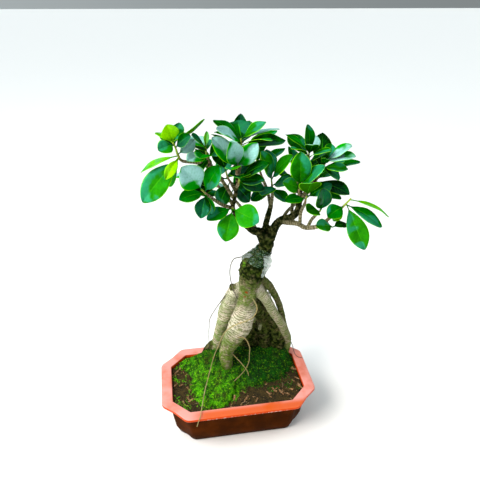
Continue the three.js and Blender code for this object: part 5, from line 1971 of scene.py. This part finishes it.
SHOOTS = (
    Shoot("shoot_left_tip", ((-2, 8, 314), (-14.6, 8, 335), (-26, 4, 352), (-43, 0, 358), (-56, -4, 361)),
          ((-60, -5, 368), (-62, -6, 376), (-65, -6, 383)), (
        (1, -67, -20, 403, 19, 0, Y), (0.8, -76, -24, 387, 17, -10, E), (0, -100, -15, 318, 28, -10, F),
        (0.1, -100, -10, 350, 16, 40, G), (0.9, -84, 8, 388, 15, 40, G), (0.75, -59, 14, 397, 15, 0, P),
        (0.6, -46, -16, 391, 15, 0, D), (0.2, -42, 2, 382, 15, 50, W), (1, -32, 10, 402, 5, 70, G),
        (0, -71, -27, 348, 12, 0, Y), (0, -74, 12, 326, 14, 0, F), (0.5, -74, 28, 390, 19, 0, P))),
    Shoot("shoot_left_mid", ((-24, 5, 349), (-27, 3, 356)), ((-30, 2, 364), (-31, 2, 374)), (
        (0.9, -53, 14, 391, 18.5, 20, W), (0.8, -52, -21, 385, 18, 30, D), (0.5, -54, -20, 367, 18, 10, W),
        (0.4, -31, -35, 370, 18.5, 0, P), (0.1, -45, -14, 352, 17, 40, D), (1, -30, 14, 388, 6, 0, G),
        (0.6, -38, 36, 384, 22, 0, P), (0.3, -9, 14, 374, 18.5, 0, D))),
    Shoot("shoot_left_low", ((-2.6, 10, 301), (-14, 4, 307), (-22, 0, 314), (-30, -4, 322)),
          ((-33, -6, 326), (-37, -8, 331)), (
        (1, -66, -22, 365, 29, -30, W), (0.2, -60, -18, 322, 20, 20, P), (0, -37, -24, 303, 18, 0, D),
        (0.4, -19, -16, 361, 21, 0, P), (0.1, -26, -14, 303, 15, 20, P), (0.8, -58, 20, 344, 20, 0, D))),
    Shoot("shoot_left_fork", ((-2, 10, 301), (-3, 5, 303)), ((-3, 2, 304), (-3, -1, 304)), (
        (0.9, -11, -18, 272, 25, 0, F), (0.9, 26, -24, 299, 27, 20, F), (0.6, -33, -10, 297, 19, 15, P))),
    Shoot("shoot_centre", ((2.6, 6, 340), (2, 2, 345)), ((2, 0, 350), (2, -1, 356)), (
        (0.6, -31, -14, 380, 22, 10, W), (0.7, -4, -24, 387, 21, 0, W), (0.5, 19, -17, 382, 19, 20, W),
        (0.8, -29, 10, 384, 19, 40, D), (0.9, -16, 22, 386, 19, 20, D), (1, 5, -8, 373, 8, 0, G),
        (0.3, -14, -30, 376, 17, 20, F))),
    Shoot("shoot_centre_low", ((1.6, 6, 328), (3, 2, 332)), ((4, -1, 336), (5, -3, 341)), (
        (1, 6, -41, 355, 22, 0, D), (0.8, 34, -18, 362, 19, -25, D), (0.4, 31, -16, 343, 18, -20, P),
        (0, 32, -8, 330, 19, -20, D))),
    Shoot("shoot_centre_back", ((1, 7, 322), (-4, 16, 328)), ((-8, 22, 332), (-11, 27, 340)), (
        (0, -15, 22, 298, 20, 0, D), (0.4, -40, 24, 326, 19, 20, D), (1, -21, 38, 366, 20, 0, D),
        (0.5, 14, 40, 340, 19, -20, D), (0.2, 17, 22, 304, 22, -10, D))),
    Shoot("shoot_top", ((2.8, 6, 344), (4.3, 9, 358), (6, 12, 368)), ((6.5, 12, 374), (6.5, 12, 381)), (
        (0.9, 3, 40, 394, 29, 0, D), (0.9, 33, 8, 399, 18, -30, E), (0.8, 48, 19, 389, 17, -50, W),
        (0.8, -22, 26, 398, 18, 30, D), (0.5, -22, -14, 388, 18, 20, W), (0.7, -20, 8, 392, 16, 50, D),
        (0.3, 39, -7, 384, 17, -55, E), (0.1, 56, 30, 374, 22, -20, D))),
    Shoot("shoot_middle", ((41.7, 24, 297), (43, 24, 310), (42.6, 24, 317)), ((42, 23, 324), (41, 22, 332)), (
        (0.7, 28, 8, 368, 21, 30, E), (0.9, 55, 4, 369, 21, -30, E), (0.2, 25, -7, 330, 20, 20, P),
        (0.3, 60, 2, 336, 20, -20, P), (0, 18, 14, 308, 17, 20, D), (0, 58, 8, 309, 18, -25, P),
        (0.9, 36, 50, 358, 20, 0, D))),
    Shoot("shoot_right_main", ((74.4, 21, 312), (73, 16, 317)), ((72, 12, 322), (72, 9, 328)), (
        (0.9, 69, -4, 371, 24, 0, E), (0.6, 49, -9, 346, 17, -20, F), (0.7, 96, -4, 356, 16, -20, E))),
    Shoot("shoot_right_top", ((74.6, 21, 314), (77, 24, 330), (82, 26, 344)),
          ((83, 26, 352), (82, 26, 363)), (
        (0.9, 90, 36, 378, 18, -10, W), (0.8, 82, -6, 379, 15, 0, W), (0.7, 61, 6, 376, 16, 50, E),
        (0.6, 97, -8, 376, 15, -20, E), (1, 54, 32, 377, 15, 40, P), (0.9, 69, 2, 383, 14, 20, P),
        (0.2, 103, 18, 366, 16, -40, P), (0.6, 62, 56, 374, 19, 0, D))),
    Shoot("shoot_right_outer", ((74.3, 20, 306), (80, 17, 318), (86, 14, 331), (93, 10, 346)),
          ((97, 8, 353), (101, 7, 360)), (
        (0.9, 122, -6, 378, 18, -30, W), (0.7, 126, -11, 368, 19, -30, W), (0, 122, 0, 350, 19, -30, E),
        (1, 93, 30, 377, 18, 10, P), (0, 118, 16, 335, 20, -20, D), (0.3, 95, -14, 362, 11, 10, P),
        (0.7, 120, 34, 369, 19, -10, P))),
    Shoot("shoot_right_inner", ((75, 10, 280), (75, 8, 296), (78.6, 6, 308)), ((79, 4, 314), (80, 2, 319)), (
        (1, 80, -30, 346, 24, 0, F), (0.5, 57, -8, 327, 15, 20, P), (0.6, 104, 16, 334, 18, -10, D))),
    Shoot("shoot_right_low", ((84, 8, 277), (88, 11, 285), (93, 12, 291)), ((96, 11, 295), (98, 9, 299)), (
        (1, 93, -15, 334, 20, 0, D), (0.6, 74, -6, 306, 20, 15, E), (0.6, 108, 22, 316, 17, -20, D))),
    Shoot("shoot_right_under", ((103, 3, 287), (106, 2, 284)), ((109, 1, 282), (112, 0, 281)), (
        (0.9, 88, -12, 290, 17, 10, E), (0.9, 130, 9, 281, 14, -30, D))),
    Shoot("shoot_right_end", ((103, 3, 287), (111, 1.5, 296), (117, 0.5, 302)),
          ((121, 0, 307), (125, 0, 312), (129, 0, 317)), (
        (0.5, 148, -13, 259, 23, 20, F), (0.4, 165, -8, 285, 18, -20, P), (0.9, 172, 4, 290, 18, -50, G),
        (0.2, 97, -16, 308, 19, 0, P), (0, 109, -12, 294, 12, 0, G))),
    Shoot("shoot_back_left", ((-2, 10, 303), (-8, 22, 308), (-18, 38, 314)),
          ((-27, 47, 322), (-35, 53, 334)), (), 5, TOP),
    Shoot("shoot_back_centre", ((2.8, 8, 340), (5, 22, 344), (7, 36, 349)),
          ((7, 44, 354), (5, 50, 364)), (), 5, TOP),
    Shoot("shoot_back_middle", ((41, 24, 297), (38, 38, 311), (32, 52, 323)),
          ((28, 61, 333), (24, 66, 346)), (), 6, TOP),
    Shoot("shoot_back_right", ((66, 18, 286), (68, 34, 296), (72, 48, 307)),
          ((75, 57, 313), (79, 62, 323)), (), 5, TOP),
    Shoot("shoot_back_outer", ((74, 20, 302), (83, 31, 311), (91, 40, 317)),
          ((97, 44, 324), (101, 46, 334)), (), 5, TOP),
    Shoot("shoot_back_low_left", ((26, 18, 268), (15, 32, 281), (2, 48, 292)),
          ((-6, 57, 300), (-12, 63, 310)), (), 4, TOP),
    Shoot("shoot_back_low_right", ((54, 17, 282), (63, 38, 285), (75, 52, 290)),
          ((86, 57, 297), (96, 60, 306)), (), 4, TOP),
)


def seeded(seed: int) -> Iterator[float]:
    """A seeded source of numbers from 0 to 1, the same one that the solids use.

    Args:
        seed: where the draw starts.

    Returns:
        The numbers, without an end.
    """
    mask = 0xFFFFFFFF
    state = seed & mask
    while True:
        state = (state + 0x6D2B79F5) & mask
        mixed = ((state ^ (state >> 15)) * (state | 1)) & mask
        mixed ^= (mixed + (((mixed ^ (mixed >> 7)) * (mixed | 61)) & mask)) & mask
        yield ((mixed ^ (mixed >> 14)) & mask) / 4294967296


@dataclass
class Leaf:
    """A leaf in its place: an arched midrib from its base, and the direction to its side."""

    base: np.ndarray
    reach: np.ndarray
    turn: float
    light: tuple[float, float, float]
    width: float
    look: Look
    fold: float = 0.22
    arch: float = 0.07
    petiole: float = 0.14
    skew: float = 1.1
    fullness: float = 0.7
    sample_start: float = 0.06
    sample_step: float = 0.13
    sample_rows: int = 8
    sample_across: Sequence[float] = (-1, -0.5, 0, 0.5, 1)

    def __post_init__(self) -> None:
        """Works out the midrib and the side."""
        length = float(np.linalg.norm(self.reach))
        axis = self.reach / length
        light = np.array(self.light, float)
        face = turned(unit(light - axis * float(axis @ light)), axis, math.radians(self.turn))
        self.crown = self.base + self.reach / 2 + face * 2 * self.arch * length
        self.side = np.cross(axis, face)

    def share(self, station: np.ndarray | float) -> np.ndarray | float:
        """Half the blade's width, as a share of the broadest, at stations of the blade."""
        return np.sin(math.pi * np.clip(station, 0, 1) ** self.skew) ** self.fullness

    def rib(self, t: np.ndarray) -> tuple[np.ndarray, np.ndarray]:
        """The midrib's points and the leaf's upward directions at shares of the leaf.

        Args:
            t: shares of the whole length.

        Returns:
            The points and the directions.
        """
        t = t[:, None]
        tip = self.base + self.reach
        points = self.base * (1 - t) ** 2 + 2 * self.crown * t * (1 - t) + tip * t**2
        slope = 2 * (self.crown - self.base) * (1 - t) + 2 * (tip - self.crown) * t
        up = np.cross(self.side, slope)
        return points, up / np.linalg.norm(up, axis=1)[:, None]

    def samples(self) -> tuple[np.ndarray, np.ndarray]:
        """Points over the blade that keep clear of other leaves, and the station of each.

        Returns:
            The points as rows, and a share of the blade for each.
        """
        places = self.sample_start + self.sample_step * np.arange(self.sample_rows)
        station = np.repeat(places, len(self.sample_across))
        half = np.tile(self.sample_across, self.sample_rows) * self.width * self.share(station) / 2
        points, up = self.rib(self.petiole + (1 - self.petiole) * station)
        return points + np.outer(half, self.side) + up * (np.abs(half) * self.fold)[:, None], station


@dataclass
class Crown:
    """The leafy shoots: where every leaf goes by the growing rule, and each shoot's pieces."""

    seed: int = 20
    spiral: float = math.radians(137.5)
    clearance: float = 4.2
    wood_clearance: float = 2
    base_part: float = 0.4
    near: float = 70
    sample_centre: int = 22
    wander: float = 0.5
    opening: tuple[float, float] = (1.35, 0.6)
    length: tuple[float, float] = (40, 12)
    slimness: tuple[float, float] = (0.44, 0.06)
    turn: float = 15
    scales: Sequence[float] = (1, 0.86, 0.72)
    leans: Sequence[float] = (0, 7, 14, 21, 28, 35)
    directions: int = 8
    young_shoots: Sequence[str] = ("shoot_left_tip", "shoot_right_end")
    half_thickness: float = 0.26
    petiole_half: float = 0.62
    rows: int = 17
    columns: int = 4

    def spiral_leaves(self, shoot: Shoot, random: Iterator[float]) -> list[tuple]:
        """The leaves of a shoot that has only a count, in a spiral up its stem.

        Args:
            shoot: the shoot.
            random: the source of its numbers.

        Returns:
            The leaves as rows of a shoot's table.
        """
        axis = Path(shoot.stem).tangent(0.5)[0]
        first = any_normal(axis)
        leaves = []
        for i in range(shoot.count):
            at = (i + 0.5) / shoot.count
            around = turned(first, axis, i * self.spiral + self.wander * next(random))
            opening = self.opening[0] + (self.opening[1] - self.opening[0]) * at
            length = self.length[0] + self.length[1] * next(random)
            tip = shoot.point(at) + (axis * math.cos(opening) + around * math.sin(opening)) * length
            width = length * (self.slimness[0] + self.slimness[1] * next(random))
            tone = (Look.DEEP, Look.PLAIN, Look.PAINTED_SHEEN, Look.DEEP)[i % 4]
            leaves.append((at, *tip, width, self.turn * (2 * next(random) - 1), tone))
        return leaves

    def wood(self) -> list[tuple[str, np.ndarray, np.ndarray]]:
        """Points along the bare wood and every stem: the shoot that owns them, the points and their radii.

        Returns:
            An entry for each limb and each stem.
        """
        top = Limb(TRUNK.points[:5])
        limbs = [("", limb) for limb in (*BRANCHES, top)] + [(s.node, s.stem_limb()) for s in SHOOTS]
        made = []
        for owner, limb in limbs:
            shares = np.linspace(0, 1, (len(limb.points) - 1) * 6 + 1)
            made.append((owner, limb.path().at(shares), limb.radius(shares)))
        return made

    def space(self, leaf: Leaf, name: str, done: list[tuple], wood: list[tuple]) -> float:
        """The least room round a leaf, less what it must have.

        Args:
            leaf: the leaf that is tried.
            name: its shoot.
            done: the leaves in place, with their shoots and samples.
            wood: the points of the wood.

        Returns:
            The room, above 0 where the leaf is clear.
        """
        points, station = leaf.samples()
        upper = points[station >= self.base_part]
        least = math.inf
        for other_name, other, other_station in done:
            if np.linalg.norm(other[self.sample_centre] - points[self.sample_centre]) > self.near:
                continue
            a, b = (upper, other[other_station >= self.base_part]) if other_name == name else (points, other)
            least = min(least, float(np.linalg.norm(a[:, None] - b[None], axis=2).min()) - self.clearance)
        for owner, line, radius in wood:
            a = upper if owner == name else points
            room = np.linalg.norm(a[:, None] - line[None], axis=2) - radius
            least = min(least, float(room.min()) - self.wood_clearance)
        return least

    def tries(self, reach: np.ndarray) -> Iterator[tuple[float, np.ndarray]]:
        """Every length and lean that a leaf is tried at, the gentlest first: the scale and the reach.

        Args:
            reach: the way from the leaf's foot to its tip, as listed.

        Returns:
            The scale and the reach of each try, in order.
        """
        upright = np.array([0, 0, 1.0])
        hinge = unit(np.cross(upright, reach))
        for scale in self.scales:
            for lean in self.leans:
                for direction in range(self.directions if lean else 1):
                    phase, step = 2 * math.pi * direction / self.directions, math.radians(lean)
                    tipped = turned(reach, hinge, step * math.sin(phase))
                    yield scale, turned(tipped, upright, step * math.cos(phase)) * scale

    def grow(self) -> dict[str, list[Leaf]]:
        """Places every leaf at the first try that is clear, or at the roomiest.

        Returns:
            The leaves of each shoot. A spiral leaf without room isn't grown.
        """
        random, wood = seeded(self.seed), self.wood()
        done: list[tuple] = []
        grown: dict[str, list[Leaf]] = {}
        for shoot in SHOOTS:
            grown[shoot.node] = []
            for at, x, y, z, width, turn, look in shoot.leaves or self.spiral_leaves(shoot, random):
                base = shoot.point(at)
                best, room = None, -math.inf
                for scale, reach in self.tries(np.array([x, y, z]) - base):
                    leaf = Leaf(base, reach, turn, shoot.light, width * scale, look)
                    found = self.space(leaf, shoot.node, done, wood)
                    if found > room:
                        best, room = leaf, found
                    if room > 0:
                        break
                if room > 0 or shoot.leaves:
                    done.append((shoot.node, *best.samples()))
                    grown[shoot.node].append(best)
        return grown

    def blade(self, shell: Shell, leaf: Leaf, seed: float) -> None:
        """Adds one leaf: petiole and blade with two faces, a soft fold and a slight wave.

        Args:
            shell: the shoot's mesh so far.
            leaf: the leaf.
            seed: what sets its waves apart.
        """
        cols = np.linspace(-1, 1, 2 * self.columns + 1)
        spacing = np.sin(np.linspace(0.04, 1, self.rows) * math.pi / 2) ** 1.15
        stalk = np.linspace(0, 0.9 * leaf.petiole, 4)
        shares = np.concatenate([stalk, leaf.petiole + (1 - leaf.petiole) * spacing])
        shares[-1] = 0.996
        station = np.clip((shares - leaf.petiole) / (1 - leaf.petiole), 0, 1)
        blade = leaf.width / 2 * leaf.share(station)
        half = np.maximum(self.petiole_half * (1.15 - 0.3 * np.minimum(shares / leaf.petiole, 1)), blade)
        half[-1] = 0.35
        points, up = leaf.rib(shares)
        thick = np.where(station > 0, self.half_thickness, self.petiole_half * 0.9)
        skins, looks, flats = [], [], []
        youth, margin, tone = leaf.look.value
        tone = tone + 0.5 * noise.noise(Vector((seed, 0.3, 0.7)))
        for sign in (1, -1):
            for r in range(len(shares)):
                h = cols * half[r]
                swing = np.sin(3.2 * math.pi * station[r] + seed + (cols > 0) * 1.7)
                wave = 0.55 * swing * cols**2 * station[r]
                soft = np.sqrt(h**2 + 0.5) - math.sqrt(0.5)
                droop = -0.05 * leaf.width * np.abs(cols) ** 3 * min(1.0, blade[r] / (leaf.width * 0.3))
                rim = 1 - 0.45 * np.abs(cols) ** 6
                lift = soft * leaf.fold + wave + droop + sign * thick[r] * rim
                skins.append(points[r] + np.outer(h, leaf.side) + np.outer(lift, up[r]))
                looks += [[youth, margin * min(1, station[r] * 6), tone, float(sign > 0)]] * len(cols)
                flats += [[0.5 + c / 2, float(shares[r])] for c in cols]
        shell.sheet(skins, False, np.array(looks), np.array(flats))

    def build(self) -> None:
        """Builds a piece for each shoot, its leaves and its stem."""
        skin, green = LeafSkin().material(), StemSkin().material()
        grown = self.grow()
        total = 0
        for k, shoot in enumerate(SHOOTS):
            shell = Shell()
            for i, leaf in enumerate(grown[shoot.node]):
                self.blade(shell, leaf, 7.3 * k + 1.9 * i)
            young = 0.35 if shoot.node in self.young_shoots else 0.0
            shell.tube(shoot.stem_limb(), 10, 1.2, shoot.stem_start(), 1, 1, 0.25,
                       look=lambda t, y=young: (min(1, t * 0.8 + y), 0, 0, 0))
            name = shoot.node.replace("shoot", "leaves")
            piece = placed(shell.mesh(name, [skin, green]), name)
            self.dress(piece, shoot)
            total += len(grown[shoot.node])
        log.info("%d leaves", total)

    def dress(self, piece: bpy.types.Object, shoot: Shoot) -> None:
        """Turns a shoot's faces outwards and declares what it stands for."""
        outwards(piece.data)
        declared(piece, "leaf", shoot.node)


# Studio


@dataclass
class Studio:
    """The pale floor, a soft tent of light that is open where the camera stands, and the camera."""

    camera_at: tuple[float, float, float] = (-0.072, -0.483, 0.512)
    azimuth: float = -9.11
    elevation: float = 26.84
    lens: float = 35.39
    floor_size: float = 80.0
    floor_colour: Colour = (0.95, 0.91, 0.9)
    tent: Colour = (0.88, 0.98, 1.0)
    tent_strength: float = 2.2
    open_side: Colour = (0.01, 0.012, 0.01)
    key: Colour = (1.0, 0.97, 0.9)
    key_at: tuple[float, float, float] = (-1.2, -0.75, 1.5)
    key_size: float = 0.9
    key_power: float = 38
    key_aim: tuple[float, float, float] = (0.02, 0.0, 0.2)

    def build(self) -> None:
        """Sets up floor, light and camera."""
        self.floor()
        self.surround()
        self.lamp()
        self.camera()

    def facing(self) -> Vector:
        """The direction from the plant to the camera."""
        a, e = math.radians(self.azimuth), math.radians(self.elevation)
        return Vector((math.sin(a) * math.cos(e), -math.cos(a) * math.cos(e), math.sin(e)))

    def behind(self) -> Vector:
        """The direction behind the plant, a little above the floor.

        Returns:
            The direction.
        """
        away = -self.facing()
        away.z = 0.35
        return away.normalized()

    def floor(self) -> None:
        """A broad pale floor."""
        half = self.floor_size / 2
        mesh = bpy.data.meshes.new("floor")
        corners = [(-half, -half, 0), (half, -half, 0), (half, half, 0), (-half, half, 0)]
        mesh.from_pydata(corners, [], [(0, 1, 2, 3)])
        sketch = Sketch("floor_paint")
        sketch.finish(Base_Color=self.floor_colour, Roughness=0.9, Specular_IOR_Level=0.1)
        mesh.materials.append(sketch.material)
        floor = placed(mesh, "floor")

    def lamp(self) -> None:
        """Adds a soft square key light that looks at the plant."""
        data = bpy.data.lights.new("key_light", "AREA")
        data.shape, data.size, data.energy, data.color = "SQUARE", self.key_size, self.key_power, self.key
        lamp = bpy.data.objects.new("key_light", data)
        bpy.context.scene.collection.objects.link(lamp)
        lamp.location = self.key_at
        aim = Vector(self.key_aim) - Vector(self.key_at)
        lamp.rotation_euler = aim.to_track_quat("-Z", "Y").to_euler()

    def surround(self) -> None:
        """The tent: pale all round and brighter on the left, but for the dark opening at the camera."""
        world = bpy.data.worlds.new("surroundings")
        world.use_nodes = True
        sky = Nodes(world.node_tree)
        place = sky.node("ShaderNodeTexCoord").outputs["Generated"]

        def towards(
            direction: Sequence[float], low: float, high: float, first: float, last: float
        ) -> bpy.types.NodeSocket:
            """A number that runs from one value to another as a direction is neared.

            Args:
                direction: the direction.
                low: the cosine of the angle to it where the change starts.
                high: the cosine where it ends.
                first: the value away from it.
                last: the value towards it.

            Returns:
                The number.
            """
            dot = sky.node("ShaderNodeVectorMath", {0: place, 1: tuple(direction)}, operation="DOT_PRODUCT")
            limits = {"From Min": low, "From Max": high, "To Min": first, "To Max": last}
            inputs = {"Value": dot.outputs["Value"], **limits}
            return sky.node("ShaderNodeMapRange", inputs, interpolation_type="SMOOTHSTEP").outputs[0]

        ahead, above = towards(self.facing(), 0.4, 0.8, 0.0, 1.0), towards((0, 0, 1), 0.06, 0.2, 0.0, 1.0)
        opening = sky.times(ahead, above)
        mix = sky.node("ShaderNodeMix", data_type="RGBA")
        for key, value in ((0, opening), (6, self.tent), (7, self.open_side)):
            sky.put(mix.inputs[key], value)
        strength = sky.times(
            towards((-1, 0, 0), -0.7, 0.7, 0.66, 1.3),
            towards((0, 0, 1), 0.3, 0.9, 0.85, 1.45),
            towards(self.behind(), 0.25, 0.75, 1.0, 0.2),
            self.tent_strength,
        )
        back = sky.nodes["Background"]
        sky.put(back.inputs["Color"], mix.outputs[2])
        sky.put(back.inputs["Strength"], strength)
        bpy.context.scene.world = world
        bpy.context.scene.view_settings.view_transform = "Standard"
        bpy.context.scene.view_settings.look = "None"

    def camera(self) -> None:
        """The camera at the photograph's place, without depth of field."""
        data = bpy.data.cameras.new("camera")
        data.lens, data.sensor_width = self.lens, 36.0
        data.clip_start, data.clip_end = 0.01, 200
        camera = bpy.data.objects.new("camera", data)
        bpy.context.scene.collection.objects.link(camera)
        camera.rotation_mode = "QUATERNION"
        camera.rotation_quaternion = (-self.facing()).to_track_quat("-Z", "Y")
        camera.location = self.camera_at
        bpy.context.scene.camera = camera


def main() -> None:
    """Builds the studio, then every sub-assembly in order."""
    logging.basicConfig(level=logging.INFO, format="%(name)s: %(message)s")
    Studio().build()
    scatter = Scatter("scatter")
    pot = Pot()
    pot.dress(pot.build())
    ground = Soil(pot)
    soil = ground.build()
    ground.dress(soil, scatter)
    moss = Moss()
    moss.dress(moss.build(), soil, scatter)
    tree = Tree()
    wood = tree.build()
    tree.dress(wood)
    tree.twigs(SHOOTS, wood.data.materials[0])
    tree.hang(Strand("strand"))
    tape = GraftTape()
    tape.dress(tape.build())
    Crown().build()


if __name__ == "__main__":
    main()
